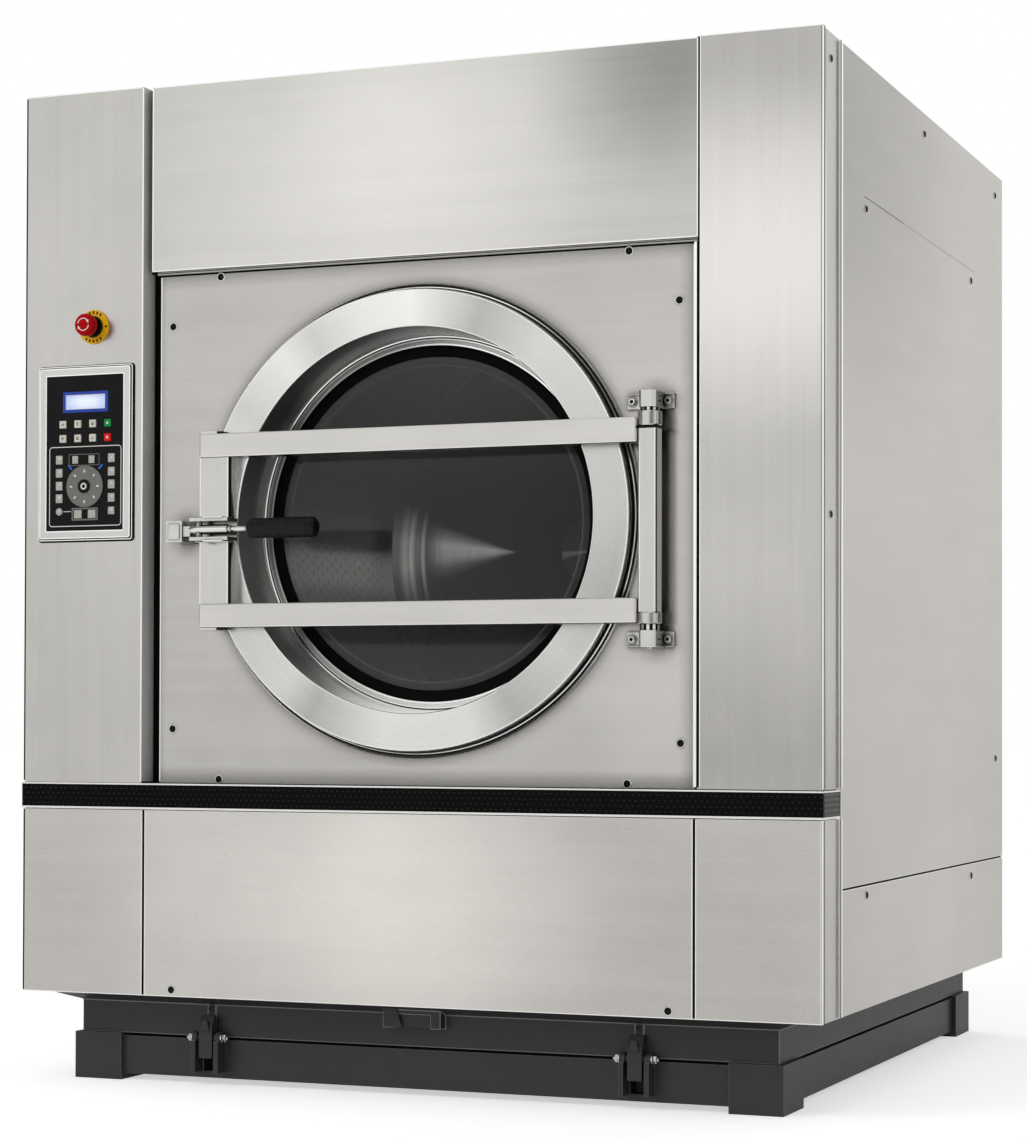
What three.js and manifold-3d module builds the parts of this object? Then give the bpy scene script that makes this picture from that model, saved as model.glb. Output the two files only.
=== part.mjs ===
import * as THREE from 'three';
import { mergeVertices } from 'three/addons/utils/BufferGeometryUtils.js';
import Module from 'manifold-3d';

const wasm = await Module();
wasm.setup();

// A front-loading washer-extractor, in millimetres, +Z up, with its door facing -Y.
// Places are measured from the cabinet's middle (x), from the front of its columns (y, to the back)
// and from the floor (z). The last lines move the machine so that its box stands centred on the origin.

// Cabinet
const cabinetWidth = 1505;
const cabinetDepth = 1421;
const cabinetHeight = 1640;
const baseHeight = 160;
const sheet = 2;
const gap = 0.3;
const overrun = 5;

// Steps round a full turn, from the widest rings to the smallest tubes
const ringSteps = 72;
const shellSteps = 60;
const pulleySteps = 48;
const collarSteps = 32;
const pinSteps = 24;
const boreSteps = 20;
const boltSteps = 16;
const tubeSteps = 12;
const beltArcSteps = 44;
const fullTurn = 360;

// Base frames
const frameInset = 88;
const frameFront = 62;
const frameRearInset = -19;
const frameWall = 60;
const lowerFrameClearance = 11;
const lowerFrameHeight = 69;
const frameGap = 5;
const flareHeight = 17;
const flareReach = 44;
const flareRearReach = 16;
const crossMemberWidth = 50;
const crossMemberHeight = 60;
const footLength = 121;
const footWidth = 96;
const footProud = 10;

// Front clamps and bracket
const leftClampInset = 355.5;
const rightClampInset = 334.5;
const clampAxisBelowTop = 75;
const clampAxisOut = 16;
const cheekSpacing = 46;
const cheekThickness = 8;
const cheekReach = 32;
const cheekBottom = 23;
const cheekTopOverAxis = 11;
const hookWidth = 26;
const hookAbove = 40;
const hookBelow = 36;
const hookThickness = 22;
const hookTipShare = 0.3;
const clampBoltRadius = 7;
const clampBoltLength = 58;
const boltClearance = 0.5;
const pocketWidth = 34;
const pocketDepth = 34;
const strapWidth = 16;
const strapThickness = 3;
const strapHeight = 36;
const bracketX = 5;
const bracketWidth = 110;
const bracketHeight = 41;
const bracketReach = 22;
const bracketFin = 20;

// Columns and panels
const leftColumnWidth = 242;
const rightColumnWidth = 213;
const stripDepth = 120;
const returnDepth = 48;
const postFlange = 50;
const stripSeam = 4;
const sideSplit = 215;
const sideSeam = 3;
const bandBottom = 335;
const bandHeight = 47;
const bandProud = 4;
const bandWrap = 100;
const bandLip = 26;
const lowerPanelSeam = 2.5;
const lowerFlange = 70;
const fasciaHeight = 335;
const fasciaSetBack = 10;
const fasciaGapLeft = 12;
const fasciaGapRight = 2;
const fasciaReturn = 18;
const panelSetBack = 30;
const panelSheet = 3;
const panelGapLeft = 20;
const panelGapRight = 14;
const panelTopGap = 7;

// Door
const doorShift = 3;
const doorHeightShare = 0.50421;
const ringWidthShare = 0.38286;
const ringHeightShare = 0.43901;
const ringFace = 66;
const ringSheet = 3;
const ringRimDepth = 20;
const wellDepth = 100;
const wellTaper = 4;
const wellSheet = 3;
const ledgeWidth = 21;
const gasketWidth = 20;
const gasketFront = 3;
const gasketLip = 5;
const gasketDepth = 14;
const gasketWall = 10;
const glassThickness = 8;
const glassDish = 18;
const glassShoulder = 22;
const glassShoulderShare = 0.8;
const surroundProud = 12;
const surroundClearance = 16;
const surroundDepth = 8;

// Bars, latch channel and hinge
const barHeight = 42;
const barDepth = 30;
const barSpacingShare = 0.75125;
const barDrop = 12;
const barInset = 5.5;
const channelWidth = 57;
const channelSheet = 3;
const channelSetBack = 2;
const hingeClearance = 39.5;
const hingeY = -8;
const hingeTubeWidth = 34;
const hingeTubeDepth = 30;
const sleeveRadius = 20.5;
const topSleeve = 31;
const bottomSleeve = 22;
const pinRadius = 12;
const pinClearance = 0.4;
const pinReach = 26;
const washerRadius = 17;
const topWasher = 6;
const bottomWasher = 11;
const hingeBlockWidth = 30;
const hingeBlockHeight = 28;
const hingeBlockDepth = 36;
const hingePlateWidth = 84;
const hingePlateShift = -10;
const hingePlateThickness = 5;
const hingePlateInset = 1;
const hingeScrewRadius = 7;
const hingeScrewInset = 10;
const hingeScrewHeight = 6;

// Latch
const guideInset = 1;
const guideWidth = 75;
const guideHeight = 40;
const guidePlate = 6;
const guideReach = 40;
const guideBase = 3;
const latchPinInset = 13;
const latchPinRadius = 6;
const latchPinHead = 3;
const leverPlane = -54;
const leverHeight = 18;
const leverThickness = 16;
const leverNose = 20;
const leverNoseShare = 0.7;
const leverTail = 58;
const rodRadius = 4.5;
const rodLength = 40;
const gripRadius = 18;
const gripLength = 133;
const gripRound = 8;
const gripCornerShare = 0.25;
const housingReach = 70;
const housingWidth = 32;
const housingHeight = 38;
const housingFront = -24;
const bossWidth = 15;
const bossHeight = 18;
const bossDepth = 15;
const lockBoltRadius = 5;
const lockBoltLength = 37;
const lockBoltPlane = -14;
const lockBoltClearance = 0.6;

// Controls
const stopPlaceShare = 0.58264;
const stopRise = 70;
const stopPlateRadius = 31;
const stopPlateThickness = 3;
const stopStemRadius = 11;
const stopStemFront = 20;
const stopStemRear = 14;
const stopHeadRadius = 20.5;
const stopHeadDepth = 20;
const stopHeadRound = 6;
const stopHeadCornerShare = 0.3;
const bezelPlaceShare = 0.5186;
const bezelHeightShare = 0.59817;
const bezelWidth = 195;
const bezelTall = 318;
const bezelBorder = 17.5;
const bezelThickness = 6;
const keypadThickness = 4;
const keypadSeat = 8;
const displayShift = 0.5;
const displayRiseShare = 0.29245;
const displayWidth = 94;
const displayTall = 38;
const displayProud = 0.8;
const displayDepth = 5;
const keySize = 14;
const keyColumns = 4;
const keyRows = 2;
const keyPitch = 31;
const keyRowPitch = 26;
const keyRowsRiseShare = 0.12579;
const keyProud = 2.5;
const keyDepth = 9;
const keyClearance = 0.4;
const dialDropShare = 0.19182;
const dialRadius = 38;
const dialThickness = 3.5;
const dialHubRadius = 12;
const dialHubProud = 2;
const dialSpindleRadius = 4;
const dialSpindleDepth = 12;

// Tub, drum and drive
const tubShare = 1.34331;
const tubSheet = 4;
const tubFront = 66;
const driveSpace = 405;
const neckClearance = 18;
const sealBand = 15.2;
const sealLipReach = 7;
const sealDepth = 30;
const sealLipDepth = 5;
const drumClearance = 65;
const drumSheet = 3;
const drumFront = 132;
const drumRearClearance = 86;
const lifterHeight = 78;
const lifterBase = 140;
const lifterCrest = 44;
const lifterCount = 3;
const shaftRadius = 55;
const shaftClearance = 0.4;
const shaftLength = 250;
const spiderThickness = 40;
const spiderArmWidth = 110;
const spiderInset = 35;
const spiderHub = 110;
const housingRadius = 140;
const housingFlangeRadius = 200;
const housingFlange = 20;
const housingLength = 110;
const drumPulleyShare = 0.5556;
const motorPulleyRadius = 75;
const pulleyWidth = 60;
const pulleyRim = 15;
const pulleyWeb = 12;
const pulleyHub = 90;
const pulleyStart = 112;
const beltWidth = 50;
const beltThickness = 8;
const beltClearance = 1;
const motorInset = 322.5;
const motorHeight = 240;
const motorRadius = 130;
const motorLength = 300;
const motorPedestalWidth = 200;
const terminalBoxWidth = 130;
const terminalBoxRise = 156;
const terminalBoxStart = 75;
const terminalBoxLength = 75;
const motorShaftRadius = 24;
const motorShaftDepth = 40;
const saddleBeam = 60;
const saddleThickness = 70;
const saddleHalfSpan = 350;
const saddleFirst = 144;
const saddleClearance = 6;
const saddleRiseShare = 0.64;
const saddleRailWidth = 120;
const drainRadius = 38;
const drainWall = 4;
const drainBore = 80;
const drainRise = 68;
const drainPlaceShare = 0.3;

// Rear fittings
const rearFittingReach = 45;
const inletInset = 332.5;
const inletDrop = 160;
const inletPlateWidth = 240;
const inletPlateTall = 80;
const inletRadius = 13;
const inletBore = 10;
const inletPitch = 75;
const inletCount = 3;
const glandInset = 332.5;
const glandRadius = 17;
const glandFlangeRadius = 24;
const glandFlange = 8;
const glandBore = 10;
const glandReach = 36;

const halfWidth = cabinetWidth / 2;
const top = baseHeight + cabinetHeight;
const columnBottom = baseHeight + bandBottom + bandHeight + gap;
const columnsInner = { left: leftColumnWidth - halfWidth, right: halfWidth - rightColumnWidth };
const leftClampX = leftClampInset - halfWidth;
const rightClampX = halfWidth - rightClampInset;

// The door and all that is turned about its axis are as large as the space between the columns, the band
// and the fascia lets them be
const panelTop = top - fasciaHeight - panelTopGap;
const spaceWide = columnsInner.right - columnsInner.left;
const spaceTall = panelTop - columnBottom;
const ringOuter = Math.min(spaceWide * ringWidthShare, spaceTall * ringHeightShare);
const ringInner = ringOuter - ringFace;
const ledgeInner = ringInner - ledgeWidth;
const gasketInner = ledgeInner - gasketWidth;
const surroundOuter = ringOuter + surroundProud;
const surroundInner = ringInner + surroundClearance;
const neckRadius = surroundInner + neckClearance;
const tubRadius = ringOuter * tubShare;
const drumRadius = tubRadius - drumClearance;
const doorX = (columnsInner.left + columnsInner.right) / 2 + doorShift;
const doorZ = columnBottom + spaceTall * doorHeightShare;
const doorPlace = [doorX, 0, doorZ];
const barsZ = doorZ - barDrop;
const barSpacing = ringOuter * barSpacingShare;
const barLeft = doorX - ringOuter + barInset;
const hingeX = doorX + ringOuter + hingeClearance;
const guideLeft = barLeft + guideInset;
const guideRight = guideLeft + guideWidth;
const latchPinX = barLeft + latchPinInset;
const housingLeft = barLeft - housingReach;

// The controls keep their places on the left column, and the drive keeps its space behind the tub
const bezelX = leftColumnWidth * bezelPlaceShare - halfWidth;
const keypadMiddle = baseHeight + cabinetHeight * bezelHeightShare;
const stopX = leftColumnWidth * stopPlaceShare - halfWidth;
const stopZ = keypadMiddle + bezelTall / 2 + stopRise;
const displayX = bezelX + displayShift;
const displayZ = keypadMiddle + bezelTall * displayRiseShare;
const keyRowsZ = keypadMiddle + bezelTall * keyRowsRiseShare;
const dialZ = keypadMiddle - bezelTall * dialDropShare;
const tubDepth = cabinetDepth - tubFront - driveSpace;
const drumPulleyRadius = tubRadius * drumPulleyShare;
const drainX = doorX - tubRadius * drainPlaceShare;
const drainZ = doorZ - tubRadius + drainRise;
const motorX = halfWidth - motorInset;

const stainless = { color: 0xb8b5af, roughness: 0.36, metalness: 1 };
const polished = { color: 0xd3d1cd, roughness: 0.16, metalness: 1 };
const charcoal = { color: 0x3b3b3c, roughness: 0.55, metalness: 0.2 };
const grille = { color: 0x141414, roughness: 0.6, metalness: 0.3 };
const rubber = { color: 0x101011, roughness: 0.7, metalness: 0 };
const blackPlastic = { color: 0x17181a, roughness: 0.5, metalness: 0 };
const darkGlass = { color: 0x2c2e2f, roughness: 0.06, metalness: 0 };
const yellowPlastic = { color: 0xf2b705, roughness: 0.45, metalness: 0 };
const redPlastic = { color: 0xc8161d, roughness: 0.35, metalness: 0 };
const greenPlastic = { color: 0x15803c, roughness: 0.4, metalness: 0 };
const ivoryPlastic = { color: 0xd8d4c4, roughness: 0.5, metalness: 0 };
const greyPlastic = { color: 0x8d8f90, roughness: 0.45, metalness: 0 };
const screenBlue = { color: 0xaecbf5, roughness: 0.3, metalness: 0 };
const paintedMotor = { color: 0x55606a, roughness: 0.5, metalness: 0.3 };
const castIron = { color: 0x4a4b4d, roughness: 0.7, metalness: 0.7 };

const machine = new THREE.Group();

// A closed geometry becomes a solid; its faces are turned outwards if they point in.
function solidOf(geometry) {
  const bare = geometry.clone();
  bare.deleteAttribute('normal');
  bare.deleteAttribute('uv');
  const merged = mergeVertices(bare);
  const places = merged.attributes.position;
  const corners = Uint32Array.from(merged.index.array);
  const [a, b, c] = [new THREE.Vector3(), new THREE.Vector3(), new THREE.Vector3()];
  let volume = 0;
  for (let i = 0; i < corners.length; i += 3) {
    a.fromBufferAttribute(places, corners[i]);
    b.fromBufferAttribute(places, corners[i + 1]);
    c.fromBufferAttribute(places, corners[i + 2]);
    volume += a.dot(b.cross(c));
  }
  for (let i = 0; volume < 0 && i < corners.length; i += 3) {
    [corners[i + 1], corners[i + 2]] = [corners[i + 2], corners[i + 1]];
  }
  const vertProperties = Float32Array.from(places.array);
  return new wasm.Manifold(new wasm.Mesh({ numProp: 3, vertProperties, triVerts: corners }));
}

function block(x0, x1, y0, y1, z0, z1) {
  const box = new THREE.BoxGeometry(x1 - x0, y1 - y0, z1 - z0);
  return solidOf(box.translate((x0 + x1) / 2, (y0 + y1) / 2, (z0 + z1) / 2));
}

// Turns a profile of [radius, distance along the axis] about the x, y or z axis through a point.
function turned(profile, axis, place, steps) {
  const onAxis = profile[0][0] === 0 && profile[profile.length - 1][0] === 0;
  const outline = (onAxis ? profile : [...profile, profile[0]]).map(([r, d]) => new THREE.Vector2(r, d));
  const lathe = new THREE.LatheGeometry(outline, steps);
  if (axis === 'x') lathe.rotateZ(-Math.PI / 2);
  if (axis === 'z') lathe.rotateX(Math.PI / 2);
  return solidOf(lathe.translate(...place));
}

function rod(radius, start, end, axis, place, steps) {
  return turned([[0, start], [radius, start], [radius, end], [0, end]], axis, place, steps);
}

function ring(inner, outer, start, end, axis, place, steps) {
  return turned([[inner, start], [outer, start], [outer, end], [inner, end]], axis, place, steps);
}

// Extrudes an outline of [x, z] points from one depth y to another.
function prismAlongY(points, y0, y1) {
  const shape = new THREE.Shape(points.map(([x, z]) => new THREE.Vector2(x, z)));
  const prism = new THREE.ExtrudeGeometry(shape, { depth: y1 - y0, bevelEnabled: false });
  return solidOf(prism.rotateX(Math.PI / 2).translate(0, y1, 0));
}

// Extrudes an outline of [y, z] points from one x to another.
function prismAlongX(points, x0, x1) {
  const shape = new THREE.Shape(points.map(([y, z]) => new THREE.Vector2(y, z)));
  const prism = new THREE.ExtrudeGeometry(shape, { depth: x1 - x0, bevelEnabled: false });
  const turn = new THREE.Matrix4().makeBasis(
    new THREE.Vector3(0, 1, 0), new THREE.Vector3(0, 0, 1), new THREE.Vector3(1, 0, 0));
  return solidOf(prism.applyMatrix4(turn).translate(x0, 0, 0));
}

// Extrudes an outline of [x, y] points from one height z to another.
function prismAlongZ(points, z0, z1) {
  const shape = new THREE.Shape(points.map(([x, y]) => new THREE.Vector2(x, y)));
  const prism = new THREE.ExtrudeGeometry(shape, { depth: z1 - z0, bevelEnabled: false });
  return solidOf(prism.translate(0, 0, z0));
}

function joined(...bodies) {
  return bodies.reduce((whole, body) => whole.add(body));
}

function mirroredInX(body) {
  return body.mirror([1, 0, 0]);
}

function piece(name, body, look) {
  const found = body.getMesh();
  const geometry = new THREE.BufferGeometry();
  geometry.setAttribute('position', new THREE.BufferAttribute(Float32Array.from(found.vertProperties), 3));
  geometry.setIndex(new THREE.BufferAttribute(Uint32Array.from(found.triVerts), 1));
  geometry.computeVertexNormals();
  const mesh = new THREE.Mesh(geometry, new THREE.MeshStandardMaterial(look));
  mesh.name = name;
  machine.add(mesh);
}

// Base: two ring frames, the upper one resting on the tops of the lower one's corner feet
const frameHalf = halfWidth - frameInset;
const frameRear = cabinetDepth - frameRearInset;
const lowerFrameTop = lowerFrameClearance + lowerFrameHeight;
const upperFrameBottom = lowerFrameTop + frameGap;
const clampZ = baseHeight - clampAxisBelowTop;
const clampY = frameFront - clampAxisOut;

function ringFrame(z0, z1) {
  const outer = block(-frameHalf, frameHalf, frameFront, frameRear, z0, z1);
  const innerHalf = frameHalf - frameWall;
  return outer.subtract(block(
    -innerHalf, innerHalf, frameFront + frameWall, frameRear - frameWall, z0 - overrun, z1 + overrun));
}

function clampCheeks(x) {
  const half = cheekThickness / 2;
  const cheeks = [];
  for (const side of [-1, 1]) {
    const middle = x + side * cheekSpacing / 2;
    const plate = block(middle - half, middle + half, frameFront - cheekReach, frameFront + sheet,
      cheekBottom, lowerFrameTop);
    const ear = rod(cheekTopOverAxis, -half, half, 'x', [middle, clampY, clampZ], boltSteps);
    const neck = block(middle - half, middle + half, clampY - cheekTopOverAxis, clampY + cheekTopOverAxis,
      lowerFrameTop - overrun, clampZ);
    cheeks.push(joined(plate, ear, neck));
  }
  const reach = cheekSpacing / 2 + cheekThickness;
  const hole = rod(clampBoltRadius + boltClearance, -reach, reach, 'x', [x, clampY, clampZ], boltSteps);
  return joined(...cheeks).subtract(hole);
}

function lowerFrame() {
  let body = ringFrame(lowerFrameClearance, lowerFrameTop);
  for (const side of [-1, 1]) {
    const outer = side * (frameHalf + footProud);
    const inner = outer - side * footWidth;
    for (const start of [frameFront - footProud, frameRear + footProud - footLength]) {
      body = body.add(block(Math.min(outer, inner), Math.max(outer, inner), start, start + footLength,
        0, upperFrameBottom - gap));
    }
  }
  for (const x of [leftClampX, rightClampX]) {
    body = body.add(clampCheeks(x)).subtract(block(x - pocketWidth / 2, x + pocketWidth / 2,
      frameFront - overrun, frameFront + pocketDepth, cheekBottom, lowerFrameTop + overrun));
  }
  return body;
}

function upperFrame() {
  const flareStart = baseHeight - flareHeight;
  const across = prismAlongX([
    [frameFront, upperFrameBottom], [frameRear, upperFrameBottom], [frameRear, flareStart],
    [frameRear + flareRearReach, baseHeight], [frameFront - flareReach, baseHeight], [frameFront, flareStart],
  ], -halfWidth, halfWidth);
  const along = prismAlongY([
    [-frameHalf, upperFrameBottom], [frameHalf, upperFrameBottom], [frameHalf, flareStart],
    [frameHalf + flareReach, baseHeight], [-frameHalf - flareReach, baseHeight], [-frameHalf, flareStart],
  ], 0, frameRear + flareRearReach);
  const innerHalf = frameHalf - frameWall;
  let body = across.intersect(along).subtract(block(-innerHalf, innerHalf, frameFront + frameWall,
    frameRear - frameWall, upperFrameBottom - overrun, baseHeight + overrun));
  const motorStart = tubFront + tubDepth - motorLength;
  for (const y of [motorStart, motorStart + motorLength - crossMemberWidth]) {
    body = body.add(block(-innerHalf - overrun, innerHalf + overrun, y, y + crossMemberWidth,
      baseHeight - crossMemberHeight, baseHeight));
  }
  for (const x of [leftClampX, rightClampX]) {
    body = body.add(block(x - strapWidth / 2, x + strapWidth / 2, frameFront - strapThickness,
      frameFront + strapThickness, baseHeight - flareHeight - strapHeight, baseHeight - flareHeight));
  }
  const left = bracketX - bracketWidth / 2;
  const right = bracketX + bracketWidth / 2;
  const bottom = baseHeight - bracketHeight;
  const shell = block(left, right, frameFront - bracketReach, frameFront + strapThickness,
    bottom, baseHeight);
  const hollow = block(left + bracketFin, right - bracketFin, frameFront - bracketReach - overrun,
    frameFront, bottom - overrun, baseHeight - flareHeight);
  return body.add(shell.subtract(hollow));
}

function clampHook(x) {
  const outline = [
    [clampY - hookThickness / 2, clampZ - hookBelow],
    [clampY + hookThickness / 2, clampZ - hookBelow],
    [clampY + hookThickness / 2, clampZ + clampBoltRadius],
    [clampY + hookThickness * hookTipShare, clampZ + hookAbove],
    [clampY, clampZ + hookAbove],
    [clampY - hookThickness / 2, clampZ + hookAbove / 2],
  ];
  const body = prismAlongX(outline, x - hookWidth / 2, x + hookWidth / 2);
  const half = clampBoltLength / 2;
  return body.add(rod(clampBoltRadius, -half, half, 'x', [x, clampY, clampZ], boltSteps));
}

piece('lower_frame', lowerFrame(), charcoal);
piece('upper_frame', upperFrame(), charcoal);
piece('clamp_hook_left', clampHook(leftClampX), charcoal);
piece('clamp_hook_right', clampHook(rightClampX), charcoal);

// Columns: a folded sheet with a corner strip, a return beside the front panel and a flange behind it
function columnShell(outer, inner, z0, z1) {
  const side = Math.sign(outer);
  const span = (a, b) => [Math.min(a, b), Math.max(a, b)];
  const face = block(...span(outer, inner), 0, sheet, z0, z1);
  const strip = block(...span(outer, outer - side * sheet), 0, stripDepth, z0, z1);
  const back = block(...span(inner, inner + side * sheet), 0, returnDepth + sheet, z0, z1);
  const flange = block(...span(inner + side * sheet, inner - side * postFlange),
    returnDepth, returnDepth + sheet, z0, z1);
  const cap = block(...span(outer, inner), 0, returnDepth + sheet, z1 - sheet, z1);
  return joined(face, strip, back, flange, cap);
}

function leftColumn() {
  const column = columnShell(-halfWidth, columnsInner.left, columnBottom, top);
  const place = [stopX, 0, stopZ];
  const stopHole = rod(stopStemRadius + keyClearance, -overrun, overrun, 'y', place, pinSteps);
  const halfOpening = bezelWidth / 2 - bezelBorder - keypadSeat;
  const halfTall = bezelTall / 2 - bezelBorder - keypadSeat;
  return column.subtract(stopHole).subtract(block(bezelX - halfOpening, bezelX + halfOpening, -overrun,
    overrun, keypadMiddle - halfTall, keypadMiddle + halfTall));
}

piece('left_column', leftColumn(), stainless);
piece('right_column', columnShell(halfWidth, columnsInner.right, columnBottom, top), stainless);

// Lower panels, each with a flange that rests on the upper frame
function lowerPanel(x0, x1, strips) {
  const z0 = baseHeight + gap;
  const z1 = baseHeight + bandBottom - gap;
  let body = block(x0, x1, 0, sheet, z0, z1);
  body = body.add(block(x0, x1, 0, lowerFlange, z0, z0 + sheet));
  body = body.add(block(x0, x1, 0, bandLip, z1 - sheet, z1));
  if (strips < 0) body = body.add(block(x0, x0 + sheet, 0, stripDepth, z0, z1));
  if (strips > 0) body = body.add(block(x1 - sheet, x1, 0, stripDepth, z0, z1));
  return body;
}

const leftSplit = columnsInner.left + lowerPanelSeam;
const rightSplit = columnsInner.right - lowerPanelSeam;
piece('lower_left_panel', lowerPanel(-halfWidth, leftSplit, -1), stainless);
piece('lower_front_panel', lowerPanel(leftSplit + lowerPanelSeam, rightSplit - lowerPanelSeam, 0), stainless);
piece('lower_right_panel', lowerPanel(rightSplit, halfWidth, 1), stainless);

// The perforated band stands proud of the panels and wraps both front corners
function band() {
  const z0 = baseHeight + bandBottom;
  const z1 = z0 + bandHeight;
  const half = halfWidth + bandProud;
  const outer = block(-half, half, -bandProud, bandWrap, z0, z1);
  const rear = bandWrap + overrun;
  const hollow = block(-half + sheet, half - sheet, sheet - bandProud, rear, z0 + sheet, z1 - sheet);
  const middle = block(bandLip - half, half - bandLip, bandLip, rear, z0 - overrun, z1 + overrun);
  return outer.subtract(hollow).subtract(middle);
}
piece('grille_band', band(), grille);

// Fascia over the door and the recessed front panel with the door opening
function fascia() {
  const left = columnsInner.left + fasciaGapLeft;
  const right = columnsInner.right - fasciaGapRight;
  const bottom = top - fasciaHeight;
  const rear = fasciaSetBack + fasciaReturn;
  return joined(
    block(left, right, fasciaSetBack, fasciaSetBack + sheet, bottom, top),
    block(left, right, fasciaSetBack, rear, bottom, bottom + sheet),
    block(left, right, fasciaSetBack, returnDepth - gap, top - sheet, top),
    block(left, left + sheet, fasciaSetBack, returnDepth - gap, bottom, top),
    block(right - sheet, right, fasciaSetBack, returnDepth - gap, bottom, top));
}
piece('fascia', fascia(), stainless);

function frontPanel() {
  const left = columnsInner.left + panelGapLeft;
  const right = columnsInner.right - panelGapRight;
  const rear = returnDepth - gap;
  const plate = joined(
    block(left, right, panelSetBack, panelSetBack + panelSheet, columnBottom, panelTop),
    block(left, left + panelSheet, panelSetBack, rear, columnBottom, panelTop),
    block(right - panelSheet, right, panelSetBack, rear, columnBottom, panelTop));
  return plate.subtract(rod(neckRadius + gap, panelSetBack - overrun, rear, 'y', doorPlace, shellSteps));
}
piece('front_panel', frontPanel(), stainless);

// Side, top and rear panels
const sideStart = stripDepth + stripSeam;
function sidePanel(z0, z1, flangeAtBottom) {
  const plate = block(halfWidth - sheet, halfWidth, sideStart, cabinetDepth, z0, z1);
  const crown = z1 - sheet - gap;
  const edge = block(halfWidth - bandLip, halfWidth, sideStart, sideStart + sheet, z0, crown);
  const lip = block(halfWidth - bandLip, halfWidth, cabinetDepth - sheet - panelSheet,
    cabinetDepth - panelSheet, z0, crown);
  const body = joined(plate, edge, lip);
  if (!flangeAtBottom) return body;
  return body.add(block(halfWidth - frameInset, halfWidth, sideStart, cabinetDepth - panelSheet,
    z0, z0 + sheet));
}

const sideSeamTop = baseHeight + sideSplit;
const upperSide = sidePanel(sideSeamTop, top, false);
const lowerSide = sidePanel(baseHeight + gap, sideSeamTop - sideSeam, true);
piece('right_side_panel', upperSide, stainless);
piece('left_side_panel', mirroredInX(upperSide), stainless);
piece('right_lower_side_panel', lowerSide, stainless);
piece('left_lower_side_panel', mirroredInX(lowerSide), stainless);

const innerHalfWidth = halfWidth - sheet - gap;
piece('top_panel', block(-innerHalfWidth, innerHalfWidth, returnDepth + sheet + gap,
  cabinetDepth - sheet - gap, top - sheet, top), stainless);

function rearPanel() {
  const bottom = baseHeight + gap;
  const plate = block(-innerHalfWidth, innerHalfWidth, cabinetDepth - sheet, cabinetDepth, bottom, top);
  const foot = block(frameInset - halfWidth, halfWidth - frameInset, cabinetDepth - lowerFlange, cabinetDepth,
    bottom, bottom + sheet);
  const outlet = rod(drainRadius + gap, cabinetDepth - overrun, cabinetDepth + overrun, 'y',
    [drainX, 0, drainZ], collarSteps);
  return plate.add(foot).subtract(outlet);
}
piece('rear_panel', rearPanel(), stainless);

const inletZ = top - inletDrop;
function waterInlets() {
  const start = cabinetDepth + gap;
  const inletX = inletInset - halfWidth;
  let body = block(inletX - inletPlateWidth / 2, inletX + inletPlateWidth / 2, start, start + panelSheet,
    inletZ - inletPlateTall / 2, inletZ + inletPlateTall / 2);
  for (let i = 0; i < inletCount; i += 1) {
    const x = inletX + (i - (inletCount - 1) / 2) * inletPitch;
    const end = cabinetDepth + rearFittingReach;
    body = body.add(rod(inletRadius, start + panelSheet / 2, end, 'y', [x, 0, inletZ], tubeSteps));
    body = body.subtract(rod(inletBore, start + panelSheet, end + overrun, 'y', [x, 0, inletZ], tubeSteps));
  }
  return body;
}
piece('water_inlets', waterInlets(), polished);

const glandStart = cabinetDepth + gap;
piece('cable_gland', turned([
  [0, glandStart], [glandFlangeRadius, glandStart], [glandFlangeRadius, glandStart + glandFlange],
  [glandRadius, glandStart + glandFlange], [glandRadius, glandStart + glandReach],
  [glandBore, glandStart + glandReach], [glandBore, glandStart + glandFlange], [0, glandStart + glandFlange],
], 'y', [halfWidth - glandInset, 0, inletZ], pinSteps), blackPlastic);

// Door: ring, well, gasket and dished glass, all turned about the drum's axis
piece('door_ring', turned([
  [ringInner, 0], [ringOuter, 0], [ringOuter, ringRimDepth], [ringOuter - ringSheet, ringRimDepth],
  [ringOuter - ringSheet, ringSheet], [ringInner, ringSheet],
], 'y', doorPlace, ringSteps), stainless);

const wellStart = ringSheet + gap;
const wellEnd = ringInner - wellTaper;
piece('door_well', turned([
  [ringInner + gap, wellStart], [ringInner + gap + wellSheet, wellStart],
  [wellEnd + wellSheet, wellDepth + wellSheet], [ledgeInner, wellDepth + wellSheet],
  [ledgeInner, wellDepth], [wellEnd, wellDepth],
], 'y', doorPlace, ringSteps), polished);

const gasketStart = wellDepth - gasketFront;
const gasketOuter = ledgeInner - gap;
piece('door_gasket', turned([
  [gasketInner, gasketStart], [gasketOuter, gasketStart], [gasketOuter, gasketStart + gasketDepth],
  [gasketOuter - gasketWall, gasketStart + gasketDepth], [gasketOuter - gasketWall, gasketStart + gasketLip],
  [gasketInner, gasketStart + gasketLip],
], 'y', doorPlace, shellSteps), rubber);

const glassRadius = gasketOuter - gasketWall - gap;
const glassStart = gasketStart + gasketLip + gap;
const glassFlat = gasketInner - glassShoulder;
const glassRise = glassDish * glassShoulderShare;
piece('door_glass', turned([
  [0, glassStart + glassDish], [glassFlat, glassStart + glassRise], [gasketInner, glassStart],
  [glassRadius, glassStart], [glassRadius, glassStart + glassThickness],
  [gasketInner, glassStart + glassThickness], [glassFlat, glassStart + glassRise + glassThickness],
  [0, glassStart + glassDish + glassThickness],
], 'y', doorPlace, shellSteps), darkGlass);

piece('surround_ring', ring(surroundInner, surroundOuter, panelSetBack - surroundDepth, panelSetBack - gap,
  'y', doorPlace, shellSteps), polished);

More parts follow.
